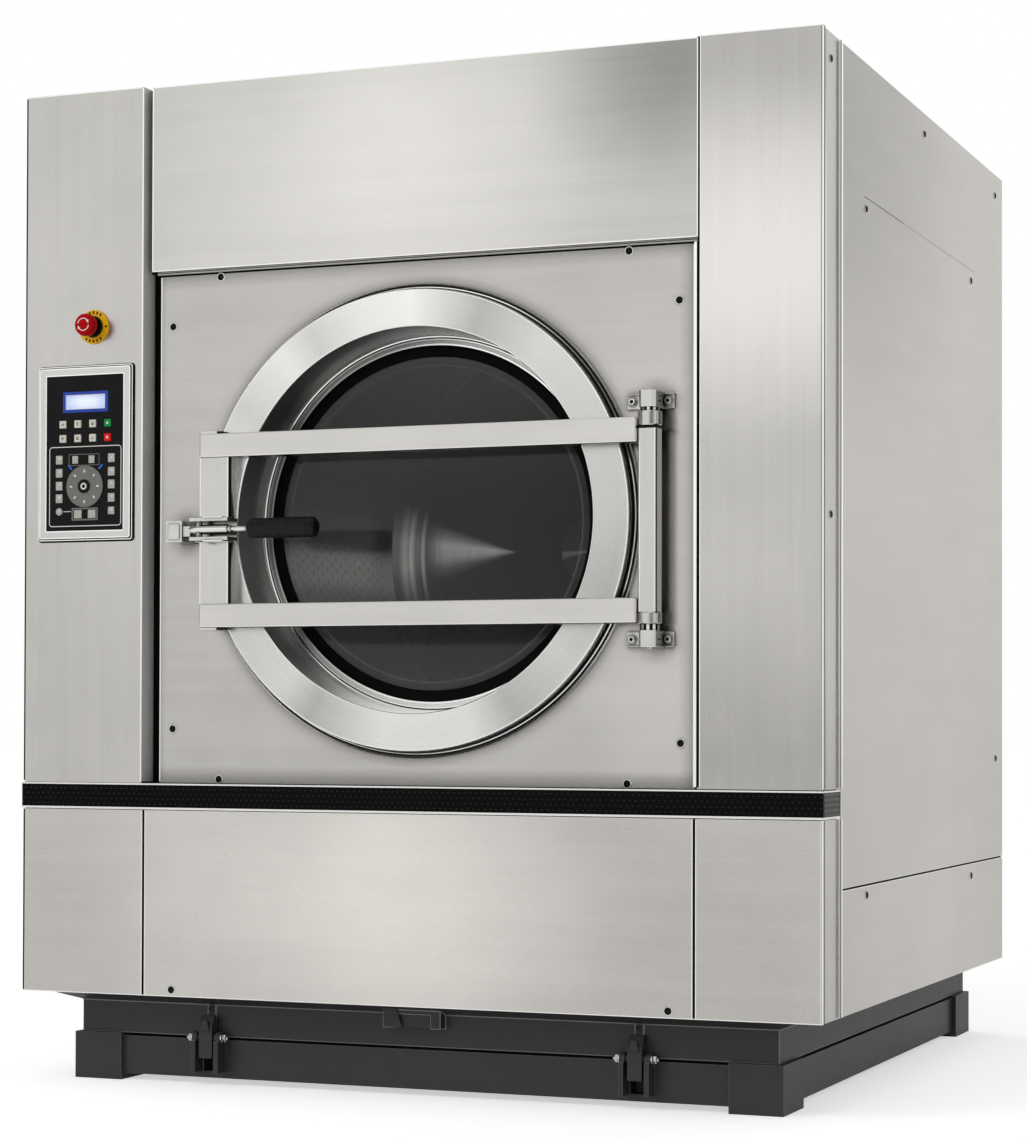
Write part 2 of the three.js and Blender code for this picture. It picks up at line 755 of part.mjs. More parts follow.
// Bars and the channel between them, in front of the door ring, and the hinge tube at their right ends
const barRight = hingeX - hingeTubeWidth / 2 - gap;
const topBarZ = barsZ + barSpacing / 2;
const bottomBarZ = barsZ - barSpacing / 2;
function bar(z) {
  return block(barLeft, barRight, -barDepth, -gap, z - barHeight / 2, z + barHeight / 2);
}
piece('door_bar_top', bar(topBarZ), stainless);
piece('door_bar_bottom', bar(bottomBarZ), stainless);

const channelBottom = bottomBarZ + barHeight / 2 + gap;
const channelTop = topBarZ - barHeight / 2 - gap;
const channelFront = channelSetBack - barDepth;
function latchChannel() {
  const right = barLeft + channelWidth;
  const hollow = block(barLeft + channelSheet, right - channelSheet, channelFront + channelSheet, overrun,
    channelBottom - overrun, channelTop + overrun);
  const hole = rod(lockBoltRadius + lockBoltClearance, barLeft - overrun, barLeft + channelSheet + overrun,
    'x', [0, lockBoltPlane, barsZ], boreSteps);
  return block(barLeft, right, channelFront, -gap, channelBottom, channelTop).subtract(hollow).subtract(hole);
}
piece('latch_channel', latchChannel(), stainless);

const sleeveTop = topBarZ + topSleeve + gap;
const sleeveBottom = bottomBarZ - bottomSleeve - gap;
function hingeTube() {
  const tube = block(hingeX - hingeTubeWidth / 2, hingeX + hingeTubeWidth / 2, hingeY - hingeTubeDepth / 2,
    hingeY + hingeTubeDepth / 2, bottomBarZ, topBarZ);
  const place = [hingeX, hingeY, 0];
  const upper = rod(sleeveRadius, topBarZ, sleeveTop, 'z', place, collarSteps);
  const lower = rod(sleeveRadius, sleeveBottom, bottomBarZ, 'z', place, collarSteps);
  const bore = pinRadius + pinClearance;
  const besideBars = block(barLeft, hingeX - hingeTubeWidth / 2, -barDepth - overrun, overrun,
    bottomBarZ - barHeight / 2 - gap, topBarZ + barHeight / 2 + gap);
  return joined(tube, upper, lower).subtract(besideBars)
    .subtract(rod(bore, sleeveTop - pinReach, sleeveTop + overrun, 'z', place, pinSteps))
    .subtract(rod(bore, sleeveBottom - overrun, sleeveBottom + pinReach, 'z', place, pinSteps));
}
piece('hinge_tube', hingeTube(), stainless);

function hingeBracket(side) {
  const seat = side > 0 ? sleeveTop + gap : sleeveBottom - gap;
  const washer = side > 0 ? topWasher : bottomWasher;
  const near = seat + side * washer;
  const far = near + side * hingeBlockHeight;
  const tip = seat - side * (pinReach - pinRadius / 2);
  const span = (a, b) => [Math.min(a, b), Math.max(a, b)];
  const plateX = hingeX + hingePlateShift;
  const face = panelSetBack - gap;
  const pinPlace = [hingeX, hingeY, 0];
  let body = joined(
    block(hingeX - hingeBlockWidth / 2, hingeX + hingeBlockWidth / 2, hingeY - hingeBlockDepth / 2,
      face - hingePlateThickness / 2, ...span(near, far)),
    block(plateX - hingePlateWidth / 2, plateX + hingePlateWidth / 2, face - hingePlateThickness, face,
      ...span(near + side * hingePlateInset, far - side * hingePlateInset)),
    rod(washerRadius, ...span(seat, near + side * hingePlateInset), 'z', pinPlace, pinSteps),
    rod(pinRadius, ...span(tip, near + side * hingeBlockHeight / 2), 'z', pinPlace, pinSteps));
  for (const end of [-1, 1]) {
    const x = plateX + end * (hingePlateWidth / 2 - hingeScrewInset);
    body = body.add(rod(hingeScrewRadius, face - hingePlateThickness - hingeScrewHeight,
      face - hingePlateThickness / 2, 'y', [x, 0, (near + far) / 2], boltSteps));
  }
  return body;
}
piece('hinge_bracket_top', hingeBracket(1), polished);
piece('hinge_bracket_bottom', hingeBracket(-1), polished);

// Latch: guide plates with a pin, the lever that turns on it, and the lock on the front panel
const guideFront = channelFront - gap - guideReach;
const latchPlace = [latchPinX, leverPlane, barsZ];
function latchGuide() {
  const rear = channelFront - gap;
  const z0 = barsZ - guideHeight / 2;
  const z1 = barsZ + guideHeight / 2;
  const pinHalf = guideHeight / 2 + latchPinHead;
  return joined(
    block(guideLeft, guideRight, rear - guideBase, rear, z0, z1),
    block(guideLeft, guideRight, guideFront, rear, z1 - guidePlate, z1),
    block(guideLeft, guideRight, guideFront, rear, z0, z0 + guidePlate),
    rod(latchPinRadius, -pinHalf, pinHalf, 'z', latchPlace, pinSteps));
}
piece('latch_guide', latchGuide(), polished);

function latchLever() {
  const tail = latchPinX + leverTail;
  const nose = latchPinX - leverNose;
  const half = leverThickness / 2;
  const tip = half * leverNoseShare;
  const outline = [
    [nose, leverPlane - tip], [latchPinX - latchPinRadius, leverPlane - half], [tail, leverPlane - half],
    [tail, leverPlane + half], [latchPinX - latchPinRadius, leverPlane + half], [nose, leverPlane + tip],
  ];
  const arm = prismAlongZ(outline, barsZ - leverHeight / 2, barsZ + leverHeight / 2);
  const stemPlace = [0, leverPlane, barsZ];
  const stem = rod(rodRadius, tail - half, tail + rodLength + gripRadius, 'x', stemPlace, boltSteps);
  const bore = rod(latchPinRadius + pinClearance, -leverHeight, leverHeight, 'z', latchPlace, pinSteps);
  return arm.add(stem).subtract(bore);
}
piece('latch_lever', latchLever(), polished);

function grip() {
  const start = latchPinX + leverTail + rodLength;
  const end = start + gripLength;
  const handle = turned([
    [0, start], [gripRadius - gripRound / 2, start], [gripRadius, start + gripRound],
    [gripRadius, end - gripRound], [gripRadius - gripRound / 2, end - gripRound * gripCornerShare],
    [gripRadius - gripRound, end], [0, end],
  ], 'x', [0, leverPlane, barsZ], pinSteps);
  return handle.subtract(rod(rodRadius + gap, start - overrun, start + gripRadius + gap, 'x',
    [0, leverPlane, barsZ], boltSteps));
}
piece('handle_grip', grip(), blackPlastic);

const bossEnd = housingLeft + housingWidth + bossWidth;
const lockBoltStart = bossEnd - lockBoltLength;
const lockBoltPlace = [0, lockBoltPlane, barsZ];
function lockHousing() {
  const right = housingLeft + housingWidth;
  const body = block(housingLeft, right, housingFront, panelSetBack - gap, barsZ - housingHeight / 2,
    barsZ + housingHeight / 2);
  const boss = block(right - overrun, bossEnd, lockBoltPlane - bossDepth / 2, lockBoltPlane + bossDepth / 2,
    barsZ - bossHeight / 2, barsZ + bossHeight / 2);
  const bore = rod(lockBoltRadius + pinClearance, lockBoltStart - sheet, bossEnd + overrun, 'x',
    lockBoltPlace, boreSteps);
  return body.add(boss).subtract(bore);
}
piece('lock_housing', lockHousing(), polished);
piece('lock_bolt', rod(lockBoltRadius, lockBoltStart, bossEnd - gap, 'x', lockBoltPlace, boreSteps),
  polished);

// Emergency stop on the left column
const stopPlace = [stopX, 0, stopZ];
piece('stop_plate', ring(stopStemRadius + keyClearance, stopPlateRadius, -gap - stopPlateThickness, -gap, 'y',
  stopPlace, collarSteps), yellowPlastic);
piece('stop_stem', rod(stopStemRadius, -stopStemFront, stopStemRear, 'y', stopPlace, pinSteps), blackPlastic);
const headRear = -stopStemFront - gap;
const headFront = headRear - stopHeadDepth;
const headCorner = stopHeadRound * stopHeadCornerShare;
piece('stop_head', turned([
  [0, headRear], [stopHeadRadius - headCorner, headRear], [stopHeadRadius, headRear - headCorner],
  [stopHeadRadius, headFront + stopHeadRound], [stopHeadRadius - headCorner, headFront + headCorner],
  [stopHeadRadius - stopHeadRound, headFront], [0, headFront],
], 'y', stopPlace, collarSteps), redPlastic);

// Keypad on the left column
const keypadHalf = bezelWidth / 2 - bezelBorder;
const keypadHalfTall = bezelTall / 2 - bezelBorder;
function bezel() {
  const outer = block(bezelX - bezelWidth / 2, bezelX + bezelWidth / 2, -gap - bezelThickness, -gap,
    keypadMiddle - bezelTall / 2, keypadMiddle + bezelTall / 2);
  return outer.subtract(block(bezelX - keypadHalf, bezelX + keypadHalf, -bezelThickness - overrun, overrun,
    keypadMiddle - keypadHalfTall, keypadMiddle + keypadHalfTall));
}
piece('keypad_bezel', bezel(), stainless);

const keyPlaces = [];
for (let row = 0; row < keyRows; row += 1) {
  for (let column = 0; column < keyColumns; column += 1) {
    const x = displayX + (column - (keyColumns - 1) / 2) * keyPitch;
    keyPlaces.push([x, keyRowsZ + ((keyRows - 1) / 2 - row) * keyRowPitch]);
  }
}
const keypadFront = -gap - keypadThickness;
function keypadPanel() {
  let body = block(bezelX - keypadHalf + gap, bezelX + keypadHalf - gap, keypadFront, -gap,
    keypadMiddle - keypadHalfTall + gap, keypadMiddle + keypadHalfTall - gap);
  const hole = keySize / 2 + keyClearance;
  for (const [x, z] of keyPlaces) {
    body = body.subtract(block(x - hole, x + hole, -overrun, overrun, z - hole, z + hole));
  }
  body = body.subtract(block(displayX - displayWidth / 2 - gap, displayX + displayWidth / 2 + gap,
    -overrun, overrun, displayZ - displayTall / 2 - gap, displayZ + displayTall / 2 + gap));
  return body.subtract(rod(dialSpindleRadius + keyClearance, -overrun, overrun, 'y',
    [displayX, 0, dialZ], boreSteps));
}
piece('keypad_panel', keypadPanel(), blackPlastic);
const displayFront = keypadFront - displayProud;
piece('display', block(displayX - displayWidth / 2, displayX + displayWidth / 2, displayFront,
  displayFront + displayDepth, displayZ - displayTall / 2, displayZ + displayTall / 2), screenBlue);

const keyNames = ['key_1', 'key_2', 'key_3', 'start_key', 'key_4', 'key_5', 'key_6', 'stop_key'];
const keyLooks = { start_key: greenPlastic, stop_key: redPlastic };
keyPlaces.forEach(([x, z], i) => {
  const half = keySize / 2;
  piece(keyNames[i], block(x - half, x + half, keypadFront - keyProud, keypadFront - keyProud + keyDepth,
    z - half, z + half), keyLooks[keyNames[i]] ?? ivoryPlastic);
});

const dialFront = keypadFront - gap - dialThickness;
piece('dial', turned([
  [0, dialFront - dialHubProud], [dialHubRadius, dialFront - dialHubProud], [dialHubRadius, dialFront],
  [dialRadius, dialFront], [dialRadius, keypadFront - gap], [dialSpindleRadius, keypadFront - gap],
  [dialSpindleRadius, keypadFront + dialSpindleDepth], [0, keypadFront + dialSpindleDepth],
], 'y', [displayX, 0, dialZ], collarSteps), greyPlastic);

// Tub: a shell with its bearing boss and drain, a front plate with the neck, and the cradle below it
const tubRear = tubFront + tubDepth;
const neckFront = panelSetBack;
const neckInner = neckRadius - tubSheet;
const shellFront = tubFront + tubSheet + gap;
const bossBore = shaftRadius + shaftClearance;
function tub() {
  const bossNose = tubRear - spiderThickness / 2;
  const bossEnd = tubRear + housingLength - gap;
  const shell = turned([
    [tubRadius, shellFront], [tubRadius, tubRear], [housingFlangeRadius, tubRear],
    [housingFlangeRadius, tubRear + housingFlange], [housingRadius, tubRear + housingFlange],
    [housingRadius, bossEnd], [bossBore, bossEnd], [bossBore, bossNose], [housingRadius, bossNose],
    [housingRadius, tubRear - tubSheet], [tubRadius - tubSheet, tubRear - tubSheet],
    [tubRadius - tubSheet, shellFront],
  ], 'y', doorPlace, shellSteps);
  const drainEnd = cabinetDepth + rearFittingReach;
  const drainPlace = [drainX, 0, drainZ];
  const pipe = rod(drainRadius, tubRear - tubSheet / 2, drainEnd, 'y', drainPlace, collarSteps)
    .subtract(rod(drainRadius - drainWall, drainEnd - drainBore, drainEnd + overrun, 'y', drainPlace,
      collarSteps));
  return shell.add(pipe);
}
piece('tub', tub(), stainless);
piece('tub_front', turned([
  [neckInner, neckFront], [neckRadius, neckFront], [neckRadius, tubFront], [tubRadius, tubFront],
  [tubRadius, tubFront + tubSheet], [neckInner, tubFront + tubSheet],
], 'y', doorPlace, shellSteps), stainless);

function tubCradle() {
  const beamHalf = frameHalf - flareHeight;
  const beamTop = baseHeight + saddleBeam;
  const saddlePitch = tubDepth - motorLength - saddleThickness - saddleFirst - saddleClearance;
  const first = tubFront + saddleFirst;
  let body = block(doorX - saddleRailWidth / 2, doorX + saddleRailWidth / 2, first, first + saddlePitch,
    baseHeight + gap, beamTop);
  for (const start of [first, first + saddlePitch]) {
    const end = start + saddleThickness;
    body = body.add(block(-beamHalf, beamHalf, start, end, baseHeight + gap, beamTop));
    body = body.add(block(doorX - saddleHalfSpan, doorX + saddleHalfSpan, start, end, beamTop - overrun,
      doorZ - tubRadius * saddleRiseShare));
  }
  return body.subtract(rod(tubRadius + gap, tubFront, tubRear, 'y', doorPlace, shellSteps));
}
piece('tub_cradle', tubCradle(), stainless);

const sealFront = panelSetBack;
const sealOuter = neckInner - gap;
const sealInner = sealOuter - sealBand;
const sealLip = sealInner - sealLipReach;
piece('mouth_seal', turned([
  [sealInner, sealFront], [sealOuter, sealFront], [sealOuter, sealFront + sealDepth],
  [sealLip, sealFront + sealDepth], [sealLip, sealFront + sealDepth - sealLipDepth],
  [sealInner, sealFront + sealDepth - sealLipDepth * 2],
], 'y', doorPlace, shellSteps), rubber);

// Drum with its lifters, and the shaft behind it with its spider and pulley
const drumRear = tubRear - drumRearClearance;
function drum() {
  let body = turned([
    [0, drumRear - drumSheet], [drumRadius - drumSheet, drumRear - drumSheet],
    [drumRadius - drumSheet, drumFront + drumSheet], [surroundInner, drumFront + drumSheet],
    [surroundInner, drumFront], [drumRadius, drumFront], [drumRadius, drumRear], [0, drumRear],
  ], 'y', [0, 0, 0], shellSteps);
  const foot = drumRadius - drumSheet / 2;
  const spread = Math.asin(lifterBase / 2 / foot);
  const crest = lifterHeight - drumRadius;
  const outline = [[lifterCrest / 2, crest], [-lifterCrest / 2, crest]];
  for (let i = -2; i <= 2; i += 1) {
    outline.push([foot * Math.sin(spread * i / 2), -foot * Math.cos(spread * i / 2)]);
  }
  for (let i = 0; i < lifterCount; i += 1) {
    const lifter = prismAlongY(outline, drumFront + drumSheet / 2, drumRear - drumSheet / 2);
    body = body.add(lifter.rotate([0, fullTurn * i / lifterCount, 0]));
  }
  return body.translate(doorPlace);
}
piece('drum', drum(), polished);

function pulley(radius, hub, bore, start, place, steps) {
  const end = start + pulleyWidth;
  const web = (start + end) / 2;
  return turned([
    [bore, start], [hub, start], [hub, web - pulleyWeb / 2], [radius - pulleyRim, web - pulleyWeb / 2],
    [radius - pulleyRim, start], [radius, start], [radius, end], [radius - pulleyRim, end],
    [radius - pulleyRim, web + pulleyWeb / 2], [hub, web + pulleyWeb / 2], [hub, end], [bore, end],
  ], 'y', place, steps);
}
const driveStart = tubRear + pulleyStart;
function drumShaft() {
  const start = drumRear + gap;
  let body = rod(shaftRadius, start, start + shaftLength, 'y', [0, 0, 0], pulleySteps);
  body = body.add(rod(spiderHub, start, start + spiderThickness, 'y', [0, 0, 0], pulleySteps));
  for (let i = 0; i < lifterCount; i += 1) {
    const arm = block(-spiderArmWidth / 2, spiderArmWidth / 2, start, start + spiderThickness,
      spiderInset - drumRadius, 0);
    body = body.add(arm.rotate([0, fullTurn * i / lifterCount, 0]));
  }
  const wheel = pulley(drumPulleyRadius, pulleyHub, shaftRadius - sheet, driveStart, [0, 0, 0], pulleySteps);
  return body.add(wheel).translate(doorPlace);
}
piece('drum_shaft', drumShaft(), castIron);

// Motor and belt
const motorPlace = [motorX, 0, baseHeight + motorHeight];
const motorRear = driveStart - gap;
function motor() {
  const start = motorRear - motorLength;
  const middle = baseHeight + motorHeight;
  const boxStart = start + terminalBoxStart;
  const shaftHole = rod(motorShaftRadius + shaftClearance, motorRear - motorShaftDepth - gap,
    motorRear + overrun, 'y', motorPlace, pinSteps);
  return joined(
    rod(motorRadius, start, motorRear, 'y', motorPlace, pulleySteps),
    block(motorX - motorPedestalWidth / 2, motorX + motorPedestalWidth / 2, tubRear - motorLength, tubRear,
      baseHeight + gap, middle),
    block(motorX - terminalBoxWidth / 2, motorX + terminalBoxWidth / 2, boxStart,
      boxStart + terminalBoxLength, middle, middle + terminalBoxRise)).subtract(shaftHole);
}
piece('motor', motor(), paintedMotor);

function motorPulley() {
  const wheel = rod(motorPulleyRadius, driveStart, driveStart + pulleyWidth, 'y', motorPlace, pulleySteps);
  return wheel.add(rod(motorShaftRadius, motorRear - motorShaftDepth, driveStart + pulleyWidth / 2, 'y',
    motorPlace, pinSteps));
}
piece('motor_pulley', motorPulley(), castIron);

// The belt follows the outer tangents of its two pulleys
function beltLoop(grow) {
  const [x1, z1, r1] = [doorPlace[0], doorPlace[2], drumPulleyRadius + beltClearance + grow];
  const [x2, z2, r2] = [motorPlace[0], motorPlace[2], motorPulleyRadius + beltClearance + grow];
  const heading = Math.atan2(z2 - z1, x2 - x1);
  const lean = Math.acos((r1 - r2) / Math.hypot(x2 - x1, z2 - z1));
  const points = [];
  const arc = (x, z, r, from, to, steps) => {
    for (let i = 0; i <= steps; i += 1) {
      const angle = from + (to - from) * i / steps;
      points.push([x + r * Math.cos(angle), z + r * Math.sin(angle)]);
    }
  };
  arc(x1, z1, r1, heading + lean, heading + 2 * Math.PI - lean, beltArcSteps);
  arc(x2, z2, r2, heading - lean, heading + lean, boltSteps);
  return points;
}
const beltStart = driveStart + (pulleyWidth - beltWidth) / 2;
piece('drive_belt', prismAlongY(beltLoop(beltThickness), beltStart, beltStart + beltWidth)
  .subtract(prismAlongY(beltLoop(0), beltStart - overrun, beltStart + beltWidth + overrun)), rubber);

// The box of the whole machine stands centred on the origin
const frontReach = gripRadius - leverPlane;
const rearReach = cabinetDepth + rearFittingReach;
machine.position.set(0, (frontReach - rearReach) / 2, 0);

export default machine;
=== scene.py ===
from math import atan2, degrees, pi, radians

import bmesh
import bpy
from mathutils import Matrix, Vector


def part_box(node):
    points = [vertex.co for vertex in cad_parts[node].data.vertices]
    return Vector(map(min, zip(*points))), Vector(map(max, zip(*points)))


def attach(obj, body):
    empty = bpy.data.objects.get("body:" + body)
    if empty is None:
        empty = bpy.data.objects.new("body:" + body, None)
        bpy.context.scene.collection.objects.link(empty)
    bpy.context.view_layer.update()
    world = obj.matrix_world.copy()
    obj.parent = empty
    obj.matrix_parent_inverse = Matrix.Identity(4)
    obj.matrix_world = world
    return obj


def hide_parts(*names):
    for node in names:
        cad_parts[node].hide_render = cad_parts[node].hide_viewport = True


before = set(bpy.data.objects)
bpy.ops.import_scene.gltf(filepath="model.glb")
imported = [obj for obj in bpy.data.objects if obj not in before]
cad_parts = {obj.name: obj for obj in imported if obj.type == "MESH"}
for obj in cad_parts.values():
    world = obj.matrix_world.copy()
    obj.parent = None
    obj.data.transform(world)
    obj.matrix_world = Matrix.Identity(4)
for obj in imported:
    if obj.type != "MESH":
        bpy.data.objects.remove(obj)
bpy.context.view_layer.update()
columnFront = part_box("left_column")[0].y    # the plane of the column fronts


def at(x, y, z):
    # millimetres from the cabinet's middle, the column fronts and the floor
    return Vector((x / 1000, columnFront + y / 1000, z / 1000))


# ---- camera ----

view = {"place": (1974.1, -4414.8, 655.6), "turn": 21.77, "tilt": 0.914, "roll": 0.14, "lens": 87.86,
        "shift": 0.0924}


def addCamera():
    data = bpy.data.cameras.new("studioCamera")
    camera = bpy.data.objects.new("studioCamera", data)
    bpy.context.scene.collection.objects.link(camera)
    data.sensor_fit = "VERTICAL"
    data.sensor_height = 36
    data.lens = view["lens"]
    data.shift_y = view["shift"]
    data.clip_end = 200
    turn = Matrix.Rotation(radians(view["turn"]), 4, "Z")
    tilt = Matrix.Rotation(radians(90 + view["tilt"]), 4, "X")
    roll = Matrix.Rotation(radians(view["roll"]), 4, "Z")
    camera.matrix_world = Matrix.Translation(at(*view["place"])) @ turn @ tilt @ roll
    bpy.context.scene.camera = camera


addCamera()
print("camera set")


# ---- shader helpers ----

class Signal:
    # a socket that adds, subtracts, multiplies and divides like a number
    def __init__(self, finish, socket):
        self.finish = finish
        self.socket = socket


def operator(operation, swapped):
    def apply(signal, other):
        pair = (other, signal) if swapped else (signal, other)
        return signal.finish.maths(operation, *pair)
    return apply


operations = {"add": "ADD", "sub": "SUBTRACT", "mul": "MULTIPLY", "truediv": "DIVIDE", "pow": "POWER"}
for word, operation in operations.items():
    setattr(Signal, "__" + word + "__", operator(operation, False))
    setattr(Signal, "__r" + word + "__", operator(operation, True))


class Finish:
    # one material and its nodes
    def __init__(self, name, **sockets):
        self.material = bpy.data.materials.new(name)
        self.material.use_nodes = True
        self.tree = self.material.node_tree
        self.shader = self.tree.nodes["Principled BSDF"]
        self.set(**sockets)

    def set(self, **sockets):
        for name, value in sockets.items():
            self.feed(self.shader.inputs[name.replace("_", " ")], value)

    def feed(self, socket, value):
        if isinstance(value, Signal):
            self.tree.links.new(value.socket, socket)
        else:
            socket.default_value = value

    def add(self, kind, settings, sockets, output=0):
        node = self.tree.nodes.new("ShaderNode" + kind)
        for name, value in settings.items():
            if name == "stops":
                ramp = node.color_ramp.elements
                while len(ramp) < len(value):
                    ramp.new(0.5)
                for element, (place, light) in zip(ramp, value):
                    element.position = place
                    element.color = grey(light)
            else:
                setattr(node, name, value)
        for name, value in sockets.items():
            self.feed(node.inputs[name], value)
        return Signal(self, node.outputs[output])

    def maths(self, operation, *values):
        return self.add("Math", {"operation": operation}, dict(enumerate(values)))

    def mix(self, share, a, b):
        return self.add("Mix", {"data_type": "RGBA"}, {0: share, 6: a, 7: b}, 2)

    def between(self, tone, colour, low, high):
        return self.mix(tone, shade(colour, low), shade(colour, high))

    def place(self, centre=(0, 0, 0), scale=(1, 1, 1)):
        spot = self.add("TexCoord", {}, {}, "Object")
        return self.add("Mapping", {}, {"Vector": spot, "Location": [-c * s for c, s in zip(centre, scale)],
                                        "Scale": scale})

    def noise(self, vector=None, scale=1.0, detail=3.0, rough=0.55):
        sockets = {"Vector": vector or self.place(), "Scale": scale, "Detail": detail, "Roughness": rough}
        return self.add("TexNoise", {}, sockets)

    def parts(self, vector):
        return [self.add("SeparateXYZ", {}, {"Vector": vector}, i) for i in range(3)]

    def spot(self, centre=(0, 0, 0)):
        return self.parts(self.place(centre))

    def ramp(self, signal, *stops):
        return self.add("ValToRGB", {"stops": stops}, {"Fac": signal})

    def bump(self, height, strength, distance, normal=None):
        sockets = {"Height": height, "Strength": strength, "Distance": distance}
        if normal:
            sockets["Normal"] = normal
        return self.add("Bump", {}, sockets)


def shade(colour, amount):
    return (colour[0] * amount, colour[1] * amount, colour[2] * amount, 1)


def grey(light):
    return (light, light, light, 1)


# ---- finishes ----

upright, level = (1100, 1100, 7), (7, 1100, 1100)
brushed = {
    "columnSteel": {"colour": (0.540, 0.526, 0.504), "grain": upright, "streak": (46, 46, 0.9),
                    "rough": 0.27},
    "fasciaSteel": {"colour": (0.565, 0.552, 0.530), "grain": level, "streak": (0.9, 46, 46), "rough": 0.27},
    "panelSteel": {"colour": (0.515, 0.500, 0.478), "grain": level, "streak": (1.5, 40, 40), "rough": 0.25},
    "lowerSteel": {"colour": (0.555, 0.538, 0.512), "grain": level, "streak": (1.6, 30, 30), "rough": 0.29},
    "sideSteel": {"colour": (0.500, 0.480, 0.452), "grain": (7, 7, 1100), "streak": (4, 2, 20),
                   "rough": 0.34},
    "barSteel": {"colour": (0.625, 0.610, 0.586), "grain": level, "streak": (3, 34, 34), "rough": 0.25},
    "tubeSteel": {"colour": (0.570, 0.560, 0.542), "grain": (900, 900, 8), "streak": (40, 40, 2),
                   "rough": 0.22},
    "bezelSteel": {"colour": (0.600, 0.592, 0.580), "grain": (900, 900, 8), "streak": (30, 30, 3),
                    "rough": 0.26},
}

# broad painted sheens and shade of the sheets: place across and up, reach across and up in metres, strength,
# below zero for shade
paintedSheens = {
    "columnSteel": [(0.640, 1.42, 0.60, 0.34, 0.54), (0.640, 1.78, 0.60, 0.20, -0.16),
                    (0.640, 0.60, 0.60, 0.34, -0.24), (-0.630, 1.62, 0.50, 0.30, 0.04),
                    (-0.630, 0.60, 0.50, 0.30, -0.05)],
    "fasciaSteel": [(-0.02, 1.62, 0.52, 0.50, 0.34), (0.500, 1.76, 0.34, 0.26, -0.48),
                    (-0.420, 1.58, 0.22, 0.40, 0.04)],
    "panelSteel": [(0.02, 1.20, 0.62, 0.42, 0.08), (-0.47, 1.02, 0.14, 0.40, -0.07),
                   (-0.44, 1.42, 0.20, 0.16, -0.06), (-0.42, 0.64, 0.24, 0.20, -0.03),
                   (0.48, 1.00, 0.20, 0.60, 0.08), (0.44, 0.64, 0.26, 0.26, 0.12)],
    "lowerSteel": [(-0.04, 0.34, 0.46, 0.40, 0.46), (-0.42, 0.34, 0.20, 0.50, 0.10),
                   (-0.63, 0.30, 0.20, 0.50, -0.06), (0.64, 0.28, 0.20, 0.50, -0.08),
                   (0.44, 0.34, 0.16, 0.40, -0.06)],
    "sideSteel": [(-0.60, 1.72, 1.10, 0.70, -0.34), (0.10, 0.20, 1.50, 0.66, 0.34)],
}


def brushedFinish(name):
    look = brushed[name]
    finish = Finish(name, Metallic=1.0)
    fine = finish.noise(finish.place(scale=look["grain"]), rough=0.6)
    streak = finish.noise(finish.place(scale=look["streak"]))
    cloud = finish.noise(scale=2.6)
    smudge = finish.noise(scale=9.0, rough=0.5)
    tone = fine * 0.10 + streak * 0.14 + cloud * 0.30 + smudge * 0.12 + 0.16
    x, y, z = finish.spot()
    isFront = finish.maths("LESS_THAN", y, columnFront + 0.032)
    if name == "sideSteel":
        x, isFront = y, 1.0
    # painted sheens and shade, on the front faces only
    for across, up, wide, tall, strength in paintedSheens.get(name, []):
        away = ((x - across) * (1 / wide)) ** 2 + ((z - up) * (1 / tall)) ** 2
        tone = tone + finish.maths("MAXIMUM", 1 - away, 0.0) ** 2 * isFront * strength
    # the columns' side strips painted darker as shade
    if name == "columnSteel":
        tone = tone - finish.maths("GREATER_THAN", y, columnFront + 0.004) * 0.22
    colour = finish.between(tone, look["colour"], 0.60, 1.60)
    wear = finish.ramp(smudge, (0.45, 0), (0.75, 1))
    # painted shadow: the panel darkens near the parts that stand in front of it
    if name == "panelSteel":
        openness = finish.add("AmbientOcclusion", {"samples": 4}, {"Distance": 0.034}, "AO")
        colour = finish.mix(openness ** 2.0, shade(look["colour"], 0.10), colour)
    roughness = fine * 0.04 + cloud * 0.08 + wear * 0.03 + (look["rough"] - 0.08)
    ripple = finish.noise(scale=14, detail=2, rough=0.5)
    waves = finish.bump(ripple, 0.10, 0.0008)
    normal = finish.bump(fine, 0.03, 0.00006, waves)
    finish.set(Base_Color=colour, Roughness=roughness, Normal=normal)
    return finish.material
